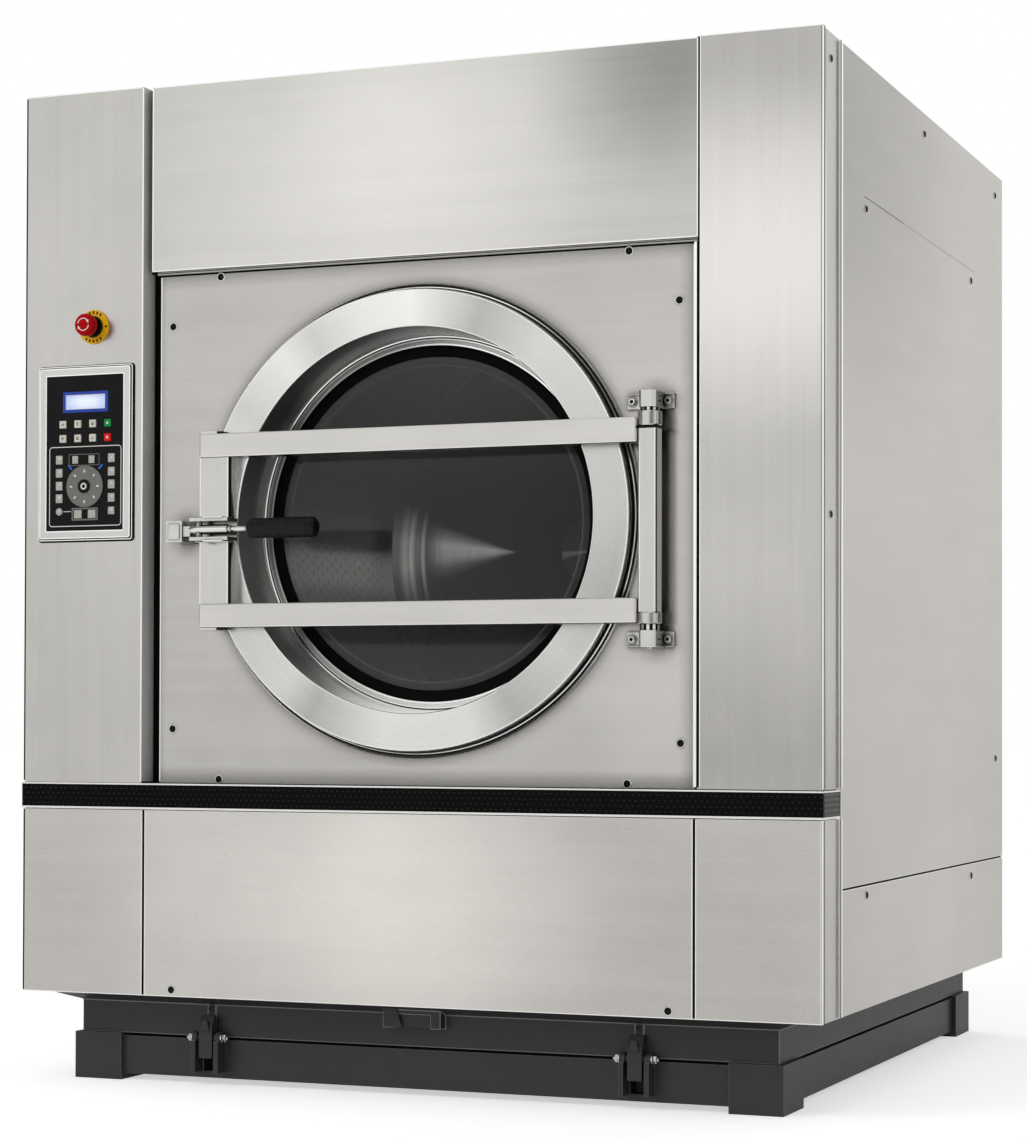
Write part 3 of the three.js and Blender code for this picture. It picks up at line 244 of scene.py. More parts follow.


# turned sheets: painted highlights in cones by angle from the hinge side, anticlockwise, with their
# brightness
turned = {
    "ringSteel": {"colour": (0.79, 0.78, 0.76), "rough": 0.28, "groove": 260, "depth": 0.08,
                  "span": (0.32, 1.30),
                  "cones": [(0, 0.48), (20, 0.52), (50, 0.63), (70, 0.35), (90, 0.92), (105, 0.82),
                            (120, 0.56), (130, 0.82), (148, 0.56), (165, 0.80), (188, 0.80), (205, 0.50),
                            (230, 0.64), (240, 0.32), (262, 0.76), (288, 0.73), (300, 0.34), (320, 0.56),
                            (341, 0.34), (360, 0.48)],
                  "metal": [(0, 1.0), (155, 1.0), (170, 0.3), (190, 0.3), (203, 1.0), (360, 1.0)]},
    "ledgeSteel": {"colour": (0.62, 0.61, 0.60), "rough": 0.26, "groove": 200, "depth": 0.04,
                   "span": (0.10, 1.30),
                   "cones": [(0, 0.50), (60, 0.62), (90, 0.46), (130, 0.50), (160, 0.36), (185, 0.40),
                             (210, 0.60), (240, 0.86), (285, 1.00), (320, 0.70), (360, 0.50)],
                   "metal": [(0, 0.9), (180, 0.9), (250, 0.6), (300, 0.6), (360, 0.9)]},
    "wellSteel": {"colour": (0.95, 0.93, 0.90), "rough": 0.26, "groove": 60, "depth": 0.04,
                  "span": (0.03, 1.30),
                  "cones": [(0, 0.40), (80, 0.24), (105, 0.10), (125, 0.16), (145, 0.08), (165, 0.12),
                            (185, 0.20), (204, 0.38), (214, 0.22), (222, 0.16), (238, 0.42), (250, 0.80),
                            (270, 1.00), (300, 0.90), (360, 0.40)],
                  "metal": [(0, 0.8), (200, 0.9), (235, 0.5), (255, 0.0), (300, 0.1), (360, 0.8)],
                  "glow": [(0, 0), (160, 0.010), (190, 0.030), (215, 0.010), (240, 0.03), (255, 0.20),
                           (272, 0.34), (295, 0.20), (320, 0), (360, 0)]},
}


def byAngle(finish, x, z, stops):
    # a ramp round an axis, in degrees from the right, anticlockwise
    angle = finish.maths("ARCTAN2", z, x) * (1 / (2 * pi))
    share = finish.maths("FRACT", angle + 1.0)
    return finish.ramp(share, *[(turn / 360, light) for turn, light in stops])


def turnedFinish(name, centre):
    # grain that runs round the door's axis, and painted highlights in cones round it
    look = turned[name]
    finish = Finish(name)
    x, y, z = finish.spot(centre)
    radius = (x * x + z * z) ** 0.5
    across, up = x / radius, z / radius
    grain = finish.add("CombineXYZ", {}, {0: radius * look["groove"], 1: across * 1.6, 2: up * 1.6})
    fine = finish.noise(grain, rough=0.6)
    broad = finish.add("CombineXYZ", {}, {0: radius * 30, 1: across * 1.1, 2: up * 1.1})
    streak = finish.noise(broad, detail=2)
    # painted highlights: the cones lighten and darken the colour by angle
    tone = byAngle(finish, x, z, look["cones"]) + (fine - 0.5) * 0.09 + (streak - 0.5) * 0.12
    low, high = look["span"]
    finish.set(Base_Color=finish.between(tone, look["colour"], low, high),
               Metallic=byAngle(finish, x, z, look["metal"]),
               Roughness=fine * 0.08 + streak * 0.06 + (look["rough"] - 0.07),
               Normal=finish.bump(fine, look["depth"], 0.0002))
    if "glow" in look:
        # stands in for the bright floor that the well mirrors
        glow = byAngle(finish, x, z, look["glow"]) * (0.8 + streak * 0.4)
        finish.set(Emission_Color=finish.mix(glow, grey(0), (1, 0.99, 0.97, 1)), Emission_Strength=1.0)
    return finish.material


def polishedFinish(name, colour, rough, corner=0.010, metallic=1.0):
    # polished steel, with painted shade in its corners
    finish = Finish(name, Metallic=metallic)
    cloud = finish.noise(scale=14)
    scratch = finish.noise(finish.place(scale=(40, 500, 500)), rough=0.6)
    tone = cloud * 0.6 + scratch * 0.4
    unshaded = finish.between(tone, colour, 0.88, 1.12)
    colourOut = unshaded
    # painted shade: darker in corners and near other parts
    if corner:
        openness = finish.add("AmbientOcclusion", {"samples": 6}, {"Distance": corner}, "AO")
        colourOut = finish.mix(openness ** 2.2, shade(colour, 0.06), unshaded)
    finish.set(Base_Color=colourOut, Roughness=cloud * 0.08 + scratch * 0.06 + (rough - 0.06),
               Normal=finish.bump(scratch, 0.05, 0.0002))
    return finish.material


def paintFinish(name, colour, rough, lighterBelow=0.0, grit=240, depth=0.00012, metallic=0.0):
    # satin paint with a fine orange peel, lighter in random patches and towards the floor below a given
    # height
    finish = Finish(name, Metallic=metallic, Specular_IOR_Level=0.35)
    peel = finish.noise(scale=grit, detail=2, rough=0.5)
    cloud = finish.noise(scale=3.0)
    dust = finish.noise(scale=34, detail=4, rough=0.65)
    tone = cloud * 0.55 + dust * 0.45
    # lighter towards the floor below the given height
    if lighterBelow:
        height = finish.spot()[2]
        tone = tone + finish.maths("MAXIMUM", lighterBelow - height, 0.0) * 5
    colourOut = finish.between(tone, colour, 0.68, 1.45)
    finish.set(Base_Color=colourOut, Roughness=peel * 0.10 + dust * 0.12 + (rough - 0.11),
               Normal=finish.bump(peel, 0.22, depth))
    return finish.material


def plasticFinish(name, colour, rough, sheen=0.35):
    # moulded plastic with a very fine grain
    finish = Finish(name, Specular_IOR_Level=sheen)
    grain = finish.noise(scale=700, detail=2)
    cloud = finish.noise(scale=30, detail=2)
    colourOut = finish.between(cloud * 0.6 + grain * 0.4, colour, 0.86, 1.16)
    finish.set(Base_Color=colourOut, Roughness=grain * 0.12 + cloud * 0.06 + (rough - 0.09),
               Normal=finish.bump(grain, 0.25, 0.00006))
    return finish.material


def gripFinish(name):
    # pebbled black grip
    finish = Finish(name, Specular_IOR_Level=0.24)
    pebble = finish.add("TexVoronoi", {"feature": "SMOOTH_F1"}, {"Vector": finish.place(), "Scale": 210})
    fine = finish.noise(scale=420)
    height = pebble * 0.8 + fine * 0.4
    colour = finish.mix(height, grey(0.001), (0.007, 0.007, 0.008, 1))
    finish.set(Base_Color=colour, Roughness=0.24 + pebble * 0.20, Normal=finish.bump(height, 0.9, 0.0020))
    return finish.material


def bandFinish(name):
    # black strip with staggered rows of small punched holes, painted lighter as glints, over faint ribs
    finish = Finish(name, Specular_IOR_Level=0.06)
    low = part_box("grille_band")[0]
    x, y, z = finish.spot((0, 0, low.z))
    rows = z * (1 / 0.0092) - 0.55
    rowShift = finish.maths("FLOOR", rows) * 0.5
    along = (x + y) * (1 / 0.0105) + rowShift
    u = finish.maths("FRACT", along) - 0.5
    v = finish.maths("FRACT", rows) - 0.5
    slant = u + v * 0.35
    distance = (slant * slant * 1.5 + v * v * 2.4) ** 0.5
    hole = finish.ramp(distance, (0.13, 1), (0.20, 0))
    rim = finish.ramp(distance, (0.16, 0), (0.26, 1), (0.40, 0))
    dust = finish.noise(scale=60)
    base = finish.mix(dust, grey(0.001), grey(0.006))
    # painted glints: the holes lighter than the strip
    paintedGlints = finish.mix(hole, base, (0.045, 0.045, 0.044, 1))
    rib = finish.maths("PINGPONG", z, 0.0055) * (1 / 0.0055)
    height = rim * 0.6 - hole * 0.8
    finish.set(Base_Color=paintedGlints, Roughness=0.42 + dust * 0.16 - hole * 0.15,
               Normal=finish.bump(height + rib * 0.05, 0.7, 0.0012))
    return finish.material


def ribFinish(name):
    # ribs of the band's short returns, their crests painted lighter as highlight
    finish = Finish(name, Specular_IOR_Level=0.25)
    rib = finish.maths("PINGPONG", finish.spot()[2], 0.0045) * (1 / 0.0045)
    dust = finish.noise(scale=80)
    colour = finish.mix(rib * 0.8 + dust * 0.2, grey(0.006), (0.10, 0.10, 0.098, 1))
    finish.set(Base_Color=colour, Roughness=0.40 + dust * 0.15, Normal=finish.bump(rib, 0.8, 0.002))
    return finish.material


def rubberFinish(name):
    finish = Finish(name, Specular_IOR_Level=0.05)
    grain = finish.noise(scale=500)
    cloud = finish.noise(scale=12)
    colour = finish.mix(cloud, grey(0.001), grey(0.005))
    finish.set(Base_Color=colour, Roughness=0.45 + grain * 0.2, Normal=finish.bump(grain, 0.2, 0.0002))
    return finish.material


def glassFinish(name, centre):
    # smoked glass: dark, glossy, a little see-through, painted lighter towards the top, the left and a little
    # the bottom as reflection, with a faint ground line near its edge
    finish = Finish(name, IOR=1.5, Specular_IOR_Level=0.42)
    x, y, z = finish.spot(centre)
    radius = (x * x + z * z) ** 0.5
    ring = finish.ramp(radius * 2.0, (0.558, 0), (0.561, 1), (0.563, 1), (0.566, 0))
    film = finish.noise(scale=5)
    smear = finish.noise(finish.place(scale=(16, 1, 3)), rough=0.6)
    # painted reflection: lighter towards the top, the left and a little towards the bottom
    paintedReflection = film * 0.15 + z * z * 5 + z * 0.5 - x * 0.5 + 0.06
    colour = finish.mix(paintedReflection, grey(0.020), (0.160, 0.159, 0.157, 1))
    finish.set(Base_Color=finish.mix(ring, colour, grey(0.15)),
               Roughness=0.03 + film * 0.03 + smear * 0.02 + ring * 0.10, Alpha=0.50 + ring * 0.10,
               Normal=finish.bump(film, 0.02, 0.001))
    return finish.material


def drumFinish(name, centre):
    # perforated stainless: holes in staggered rings, with a painted highlight band by angle that also glows
    finish = Finish(name, Metallic=1.0)
    spot = finish.place(centre)
    x, y, z = finish.parts(spot)
    turn = finish.maths("ARCTAN2", z, x)
    along = y * (1 / 0.022)
    shift = finish.maths("FLOOR", along) * 0.5
    u = finish.maths("FRACT", turn * (130 / (2 * pi)) + shift) - 0.5
    v = finish.maths("FRACT", along) - 0.5
    hole = finish.ramp((u * u + v * v) ** 0.5, (0.17, 1), (0.22, 0))
    cloud = finish.noise(spot, scale=8)
    # painted highlight: a band by angle, lighter and glowing
    paintedGleam = byAngle(finish, x, z, [(0, 0), (179, 0), (182, 0.8), (188, 0.9), (193, 0.3), (198, 0), (360, 0)])
    dull = finish.mix(cloud, (0.17, 0.166, 0.160, 1), (0.26, 0.254, 0.244, 1))
    steel = finish.mix(paintedGleam, dull, (0.80, 0.78, 0.75, 1))
    glow = paintedGleam * (1 - hole * 0.3) * 0.15
    finish.set(Base_Color=finish.mix(hole * 0.34, steel, grey(0.02)), Roughness=0.30 + cloud * 0.12,
               Emission_Color=finish.mix(glow, grey(0), (1, 0.98, 0.95, 1)), Emission_Strength=1.0,
               Normal=finish.bump(hole, 0.4, -0.001))
    return finish.material


def drumBackFinish(name, centre):
    # turned back of the drum: a painted highlight, which also glows, on a narrow wedge and on the beads
    finish = Finish(name, Metallic=0.8)
    x, y, z = finish.spot(centre)
    radius = (x * x + z * z) ** 0.5
    grain = finish.noise(finish.add("CombineXYZ", {}, {0: radius * 300, 1: x * 2, 2: z * 2}), rough=0.6)
    wedge = byAngle(finish, x + 0.17, z, [(0, 0), (160, 0), (167, 0.35), (174, 1.0), (183, 0.75), (191, 0.2),
                                          (199, 0), (360, 0)])
    reach = finish.ramp(radius, (0.14, 0), (0.22, 1), (0.33, 0.9), (0.37, 0.2))
    band = byAngle(finish, x, z, [(0, 0), (166, 0), (176, 0.8), (184, 1.0), (192, 0.3), (199, 0), (360, 0)])
    bead = finish.ramp(radius, (0.377, 0), (0.381, 1), (0.386, 0.1), (0.400, 0.1), (0.406, 1), (0.412, 0.2),
                       (0.424, 0.7), (0.436, 0.1))
    light = (wedge * reach + band * bead) * (0.75 + grain * 0.5)
    tone = finish.mix(light, (0.050, 0.050, 0.048, 1), (0.85, 0.83, 0.80, 1))
    glow = finish.mix(light * 0.72, grey(0), (1, 0.98, 0.95, 1))
    finish.set(Base_Color=tone, Roughness=0.24 + grain * 0.14, Emission_Color=glow, Emission_Strength=1.0,
               Normal=finish.bump(grain, 0.06, 0.0002))
    return finish.material


def screenFinish(name):
    # a lit display with a soft edge
    finish = Finish(name, Roughness=0.12)
    low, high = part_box("display")
    x, y, z = finish.spot((low + high) / 2)
    edge = finish.ramp((x * x * 480 + z * z * 3400) ** 0.5, (0.35, 1), (1.0, 0))
    cloud = finish.noise(scale=40, detail=2)
    colour = finish.mix(edge * 0.8 + cloud * 0.2, (0.42, 0.52, 0.86, 1), (0.78, 0.84, 0.98, 1))
    finish.set(Base_Color=colour, Emission_Color=colour, Emission_Strength=0.35)
    return finish.material


# colour, roughness, reach of the painted shade in corners in metres, share of metal
polished = {
    "polishedSteel": ((0.66, 0.65, 0.635), 0.20),
    "tubSteel": ((0.42, 0.41, 0.40), 0.30, 0),
    # near-black steel for painted shade and dark lines
    "rimSteel": ((0.055, 0.050, 0.048), 0.22, 0),
    "trimSteel": ((0.86, 0.85, 0.83), 0.20),
    # near-white steel for painted highlight lines and edges
    "edgeSteel": ((0.99, 0.985, 0.97), 0.20, 0),
    # light, mostly unmetallic steel for faces painted as lit
    "returnSteel": ((0.78, 0.765, 0.74), 0.45, 0, 0.2),
}

# colour, roughness, height below which it gets lighter towards the floor, scale and depth of the grit, share
# of metal
paints = {
    # edgePaint lightens the base's bevelled edges: wear, and a painted highlight
    "edgePaint": ((0.22, 0.22, 0.222), 0.32),
    "basePaint": ((0.030, 0.030, 0.031), 0.46, 0.13),
    "motorPaint": ((0.09, 0.12, 0.15), 0.40),
    "castIron": ((0.06, 0.06, 0.062), 0.55, 0.0, 180, 0.0003, 0.8),
}

# colour, roughness, sheen
plastics = {
    "keypadBlack": ((0.006, 0.006, 0.007), 0.30, 0.12),
    "softBlack": ((0.004, 0.004, 0.004), 0.45, 0.15),
    "stopRed": ((0.44, 0.001, 0.002), 0.26, 0.08),
    "keyRed": ((0.86, 0.010, 0.012), 0.32, 0.2),
    "stopYellow": ((0.90, 0.48, 0.004), 0.40, 0.2),
    "keyIvory": ((0.72, 0.68, 0.60), 0.36),
    "keyGreen": ((0.004, 0.30, 0.060), 0.32, 0.2),
    "keyGrey": ((0.50, 0.48, 0.45), 0.30),
    "dialGrey": ((0.20, 0.195, 0.185), 0.40, 0.2),
    "printWhite": ((0.82, 0.81, 0.78), 0.40),
    "printBlue": ((0.02, 0.20, 0.75), 0.30),
    "displayBlue": ((0.010, 0.055, 0.42), 0.24),
}

patterned = {"bandBlack": bandFinish, "bandRibs": ribFinish, "sealRubber": rubberFinish,
             "gripBlack": gripFinish, "screenPale": screenFinish}
roundDoor = {"drumBack": drumBackFinish, "drumSteel": drumFinish, "smokedGlass": glassFinish}

door = {"x": 17.5, "z": 1004.0}
doorCentre = at(door["x"], 0, door["z"])
finishes = {name: brushedFinish(name) for name in brushed}
finishes.update({name: turnedFinish(name, doorCentre) for name in turned})
finishes.update({name: make(name, doorCentre) for name, make in roundDoor.items()})
finishes.update({name: make(name) for name, make in patterned.items()})
for make, looks in ((polishedFinish, polished), (paintFinish, paints), (plasticFinish, plastics)):
    finishes.update({name: make(name, *look) for name, look in looks.items()})
print("finishes made")


# ---- modelling helpers ----

def clear():
    bpy.ops.object.select_all(action="DESELECT")


def activate(piece):
    clear()
    piece.select_set(True)
    bpy.context.view_layer.objects.active = piece


def pick(piece, mode, test):
    # selects by place or normal in edit mode
    bpy.ops.mesh.select_mode(type=mode)
    mesh = bmesh.from_edit_mesh(piece.data)
    mesh.normal_update()
    for kind in (mesh.verts, mesh.edges, mesh.faces):
        for element in kind:
            element.select = False
    for element in {"VERT": mesh.verts, "EDGE": mesh.edges, "FACE": mesh.faces}[mode]:
        element.select = test(element)
    mesh.select_flush_mode()
    bmesh.update_edit_mesh(piece.data)


def edit(piece):
    activate(piece)
    bpy.ops.object.mode_set(mode="EDIT")


def leave():
    bpy.ops.object.mode_set(mode="OBJECT")


def insetFaces(piece, test, *steps):
    # each step insets by a width and lifts by a height, both in millimetres
    edit(piece)
    pick(piece, "FACE", test)
    for width, height in steps:
        bpy.ops.mesh.inset(thickness=width / 1000, depth=height / 1000)
    leave()
    return piece


def modify(piece, kind, **settings):
    modifier = piece.modifiers.new(kind.title(), kind)
    for name, value in settings.items():
        setattr(modifier, name, value)
    return modifier


def finishWith(piece, kind, **settings):
    activate(piece)
    modifier = modify(piece, kind, **settings)
    bpy.ops.object.modifier_apply(modifier=modifier.name)


def softened(piece, width, segments=3, angle=30):
    finishWith(piece, "BEVEL", width=width / 1000, segments=segments, limit_method="ANGLE",
               angle_limit=radians(angle), use_clamp_overlap=True)
    return piece


def startBox(x0, x1, y0, y1, z0, z1):
    clear()
    low, high = at(x0, y0, z0), at(x1, y1, z1)
    bpy.ops.mesh.primitive_cube_add(size=1, location=(low + high) / 2, scale=high - low)
    bpy.ops.object.transform_apply(location=True, rotation=True, scale=True)
    return bpy.context.object


def roundedBox(*sides, soft, segments=3):
    return softened(startBox(*sides), soft, segments)


def startDisc(radius, depth, centre, axis, sides):
    clear()
    turn = {"X": (0, pi / 2, 0), "Z": (0, 0, 0)}[axis]
    bpy.ops.mesh.primitive_cylinder_add(vertices=sides, radius=radius / 1000, depth=depth / 1000,
                                        location=centre, rotation=turn)
    bpy.ops.object.transform_apply(location=True, rotation=True, scale=True)
    return bpy.context.object


def line(points):
    # one vertex, extruded from point to point
    clear()
    bpy.ops.mesh.primitive_plane_add(size=0.001, location=points[0])
    bpy.ops.object.transform_apply(location=True, rotation=True, scale=True)
    piece = bpy.context.object
    edit(piece)
    bpy.ops.mesh.select_mode(type="VERT")
    bpy.ops.mesh.select_all(action="SELECT")
    bpy.ops.mesh.merge(type="CENTER")
    for a, b in zip(points, points[1:]):
        bpy.ops.mesh.extrude_region_move(TRANSFORM_OT_translate={"value": b - a})
    return piece


def tidyMesh():
    bpy.ops.mesh.select_all(action="SELECT")
    bpy.ops.mesh.remove_doubles(threshold=0.000004)
    bpy.ops.mesh.normals_make_consistent(inside=False)
    leave()


def spun(profile, centre, steps, axis="Y", arc=360):
    # turns a line of [radius, place along the axis] in millimetres, closed unless it starts on the axis
    spots = list(profile) + ([profile[0]] if profile[0][0] > 0 else [])
    out = {"Y": lambda r, d: Vector((r, d, 0)), "Z": lambda r, d: Vector((r, 0, d)),
           "X": lambda r, d: Vector((d, 0, r))}[axis]
    piece = line([centre + out(r, d) / 1000 for r, d in spots])
    bpy.ops.mesh.select_all(action="SELECT")
    way = {"X": (1, 0, 0), "Y": (0, 1, 0), "Z": (0, 0, 1)}[axis]
    bpy.ops.mesh.spin(steps=steps, angle=radians(arc), center=centre, axis=way)
    tidyMesh()
    return piece


def ribbon(points, rise, thickness):
    # a strip that follows a line, with its thickness to both sides
    piece = line(points)
    bpy.ops.mesh.select_all(action="SELECT")
    bpy.ops.mesh.extrude_region_move(TRANSFORM_OT_translate={"value": rise})
    leave()
    finishWith(piece, "SOLIDIFY", thickness=thickness / 1000, offset=0, use_even_offset=True)
    edit(piece)
    tidyMesh()
    return piece


def copied(piece, transform):
    twin = piece.copy()
    twin.data = piece.data.copy()
    bpy.context.scene.collection.objects.link(twin)
    twin.data.transform(transform)
    return twin


def shifted(piece, x, y, z):
    return copied(piece, Matrix.Translation(Vector((x, y, z)) / 1000))


def turnedCopy(piece, angle, axis, centre):
    return copied(piece, Matrix.Translation(centre) @ Matrix.Rotation(radians(angle), 4, axis)
                  @ Matrix.Translation(-centre))


def turnedRow(model, turns, centre):
    # copies turned about the front-to-back line through the centre, without the model
    row = [turnedCopy(model, turn, "Y", centre) for turn in turns]
    bpy.data.objects.remove(model)
    return row


def merged(pieces):
    clear()
    for piece in pieces:
        piece.select_set(True)
    bpy.context.view_layer.objects.active = pieces[0]
    bpy.ops.object.join()
    return bpy.context.object


def settle(piece, name, body, look, slotName, *nodes, angle=32):
    # names a finished piece, gives it its finish and hangs it on its body
    activate(piece)
    bpy.ops.object.shade_smooth_by_angle(angle=radians(angle))
    finishWith(piece, "WEIGHTED_NORMAL", keep_sharp=True)
    piece.name = name
    piece.data.name = name
    if look:
        piece.data.materials.clear()
        piece.data.materials.append(finishes[look])
    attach(piece, body)
    if nodes:
        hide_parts(*nodes)


def settleBoxes(boxes, name, body, look, slotName, soft, segments=3):
    pieces = [roundedBox(*box, soft=soft, segments=segments) for box in boxes]
    settle(merged(pieces), name, body, look, slotName)


def fromAxis(spot, centre):
    # millimetres from a line through the centre, front to back
    return Vector((spot.x - centre.x, spot.z - centre.z)).length * 1000


def finishByFace(piece, looks, choose):
    # choose gives each face its place in the list of finishes
    piece.data.materials.clear()
    for look in looks:
        piece.data.materials.append(finishes[look])
    for face in piece.data.polygons:
        face.material_index = choose(face)


def twoFinishes(piece, first, second, test):
    finishByFace(piece, [first, second], lambda face: 1 if test(face) else 0)


# ---- the imported nodes that keep their own shape ----

# finish: nodes, edge width in millimetres, finish of the edges, which paints a highlight along the bevels
dressing = {
    "columnSteel": (["left_column", "right_column"], 2.4, "edgeSteel"),
    "fasciaSteel": (["fascia"], 2.4, "edgeSteel"),
    "panelSteel": (["front_panel"], 2.2, "edgeSteel"),
    "lowerSteel": (["lower_left_panel", "lower_front_panel", "lower_right_panel"], 1.6, "edgeSteel"),
    "sideSteel": (["right_side_panel", "left_side_panel", "right_lower_side_panel", "left_lower_side_panel",
                   "top_panel", "rear_panel"], 1.4, "edgeSteel"),
    "barSteel": (["door_bar_top", "door_bar_bottom"], 2.0, "edgeSteel"),
    "tubeSteel": (["latch_channel"], 2.0, "edgeSteel"),
    "polishedSteel": (["latch_guide", "lock_housing", "lock_bolt", "water_inlets"], 1.2, "edgeSteel"),
    "basePaint": (["lower_frame", "upper_frame", "tub_cradle", "clamp_hook_left", "clamp_hook_right"], 2.6,
                  "edgePaint"),
    "bandBlack": (["grille_band"], 0.8, None),
    "sealRubber": (["mouth_seal", "drive_belt"], 0.5, None),
    "drumSteel": (["drum"], 1.0, None),
    "tubSteel": (["tub", "tub_front"], 1.0, None),
    "castIron": (["drum_shaft", "motor_pulley"], 1.5, None),
    "motorPaint": (["motor"], 2.0, None),
    "keypadBlack": (["keypad_panel"], 0.3, None),
    "softBlack": (["stop_stem", "cable_gland"], 0.5, None),
    "stopYellow": (["stop_plate"], 0.6, None),
    "keyRed": (["stop_key"], 1.2, None),
    "keyGreen": (["start_key"], 1.2, None),
    "keyIvory": (["key_1", "key_2", "key_3", "key_4", "key_5", "key_6"], 1.2, None),
}


def dressNodes():
    for look, (names, width, rim) in dressing.items():
        for name in names:
            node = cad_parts[name]
            node.data.materials.clear()
            node.data.materials.append(finishes[look])
            modify(node, "WELD", merge_threshold=0.00001)
            modify(node, "DECIMATE", decimate_type="DISSOLVE", angle_limit=radians(0.5))
            edge = modify(node, "BEVEL", width=width / 1000, segments=2, limit_method="ANGLE",
                          angle_limit=radians(30))
            # the edge finish lightens the bevels as a painted highlight
            if rim:
                node.data.materials.append(finishes[rim])
                edge.material = 1
            modify(node, "WEIGHTED_NORMAL", keep_sharp=True)


dressNodes()
print("packed nodes dressed")


# ---- door ----

ring = {"inner": 336, "outer": 402, "rim": 20, "sheet": 3}


def makeDoorRing():
    inner, outer, rim, sheet = ring["inner"], ring["outer"], ring["rim"], ring["sheet"]
    profile = [(inner, sheet), (inner, 2.0), (inner + 0.8, 0.9), (inner + 2.4, 0), (outer - 3.2, 0),
               (outer - 1.2, 0.8), (outer - 0.2, 2.4), (outer, 3.6), (outer, 8), (outer + 0.3, 9),
               (outer + 0.3, 11), (outer, 12), (outer, rim - 1), (outer - 0.8, rim), (outer - sheet, rim),
               (outer - sheet, 6), (outer - 5, sheet)]
    piece = spun(profile, doorCentre, 160)

    # the ring's front bevels and its bead take painted highlight steel, the rest of its outer wall painted
    # shade steel
    def edgeOrRim(face):
        reach, deep = fromAxis(face.center, doorCentre), (face.center.y - columnFront) * 1000
        if deep < 0.02:
            return 0
        if face.normal.y > 0.5 or reach < outer - sheet + 0.1 and deep > sheet - 0.1:
            return 3
        return 1 if deep < 3.2 or 8.5 < deep < 11.5 and reach > outer else 2

    finishByFace(piece, ["ringSteel", "edgeSteel", "rimSteel", "polishedSteel"], edgeOrRim)
    settle(piece, "doorRing", "door", None, "door_steel", "door_ring")


well = {"depth": 100, "front": 336.3, "rear": 332, "ledge": 315}


def makeDoorWell():
    front, rear, ledge, depth = well["front"], well["rear"], well["ledge"], well["depth"]
    profile = [(front, 3.3), (front - 0.8, 12), (rear + 0.6, depth - 5), (rear - 0.6, depth - 2),
               (rear - 2.6, depth - 1.4), (rear - 2.8, depth + 1), (rear - 4.8, depth + 1),
               (rear - 5, depth - 1), (rear - 7, depth - 1), (rear - 7.2, depth), (ledge + 3.6, depth),
               (ledge + 3.2, depth - 1.4), (ledge + 0.4, depth - 1.4), (ledge - 0.2, depth),
               (ledge - 0.2, depth + 3), (rear + 3, depth + 3), (front + 3, 3.3)]
    piece = spun(profile, doorCentre, 160)

    # the lines at the ledge take painted highlight steel, and the groove is black as painted shade
    def wallOrLedge(face):
        reach = fromAxis(face.center, doorCentre)
        outward = face.normal.dot(face.center - doorCentre) > 0
        if outward and (face.normal.y > 0.5 or reach > rear + 2.5):
            return 4
        if reach > rear - 0.3:
            return 0
        if rear - 5.0 < reach < rear - 2.7:
            return 3
        return 2 if reach > rear - 7.1 or reach < ledge + 3.5 else 1

    finishByFace(piece, ["wellSteel", "ledgeSteel", "edgeSteel", "softBlack", "polishedSteel"], wallOrLedge)
    settle(piece, "doorWell", "door", None, "polished_steel", "door_well", angle=40)


gasket = {"inner": 295, "outer": 314.7, "front": 97}


def makeDoorGasket():
    inner, outer, front = gasket["inner"], gasket["outer"], gasket["front"]
    profile = [(inner, front + 5), (inner, front + 2.4), (inner + 1.2, front + 1), (inner + 3.5, front + 0.3),
               (inner + 7, front), (outer - 6, front - 0.8), (outer - 3, front - 0.4),
               (outer - 1, front + 0.8), (outer, front + 3), (outer, front + 14), (outer - 10, front + 14),
               (outer - 10, front + 5)]
    settle(spun(profile, doorCentre, 128), "doorGasket", "door", "sealRubber", "seal_rubber", "door_gasket")


glass = {"start": 102.3, "edge": 304.3, "flange": 292, "dish": 18, "thickness": 8, "steps": 16}


def makeDoorGlass():
    # a flat edge round a shallow bowl
    start, flange, steps = glass["start"], glass["flange"], glass["steps"]
    front = [(glass["edge"], start)]
    for i in range(steps + 1):
        share = 1 - i / steps
        front.append((flange * share, start + glass["dish"] * (1 - share ** 2)))
    back = [(radius, deep + glass["thickness"]) for radius, deep in reversed(front)]
    piece = spun(front + back, doorCentre, 128)
    settle(piece, "doorGlass", "door", "smokedGlass", "door_glass", "door_glass")


surround = {"inner": 352, "outer": 414, "front": 22, "rear": 29.7}


def makeSurround():
    inner, outer, front, rear = surround["inner"], surround["outer"], surround["front"], surround["rear"]
    profile = [(inner, rear), (inner, front + 1), (inner + 1, front), (outer - 10, front),
               (outer - 8.4, front - 1), (outer - 6.8, front), (outer - 6.6, front + 3),
               (outer - 3.8, front + 3), (outer - 3.6, front), (outer - 1.8, front - 1),
               (outer - 0.2, front + 1), (outer, rear)]
    piece = spun(profile, doorCentre, 144)

    # the ring is painted shade steel, its groove black as painted shade, its outer part painted highlight
    # steel
    def beadOrGroove(face):
        reach = fromAxis(face.center, doorCentre)
        if outer - 6.75 < reach < outer - 3.65:
            return 1
        return 2 if reach > outer - 9.9 else 0

    finishByFace(piece, ["rimSteel", "softBlack", "edgeSteel"], beadOrGroove)
    settle(piece, "openingRing", "cabinet", None, "polished_steel", "surround_ring")


bars = {"left": -379, "right": 441, "half": 21, "top": 1143, "bottom": 841,
        "cap": 34, "proud": 5.5, "notch": 10}


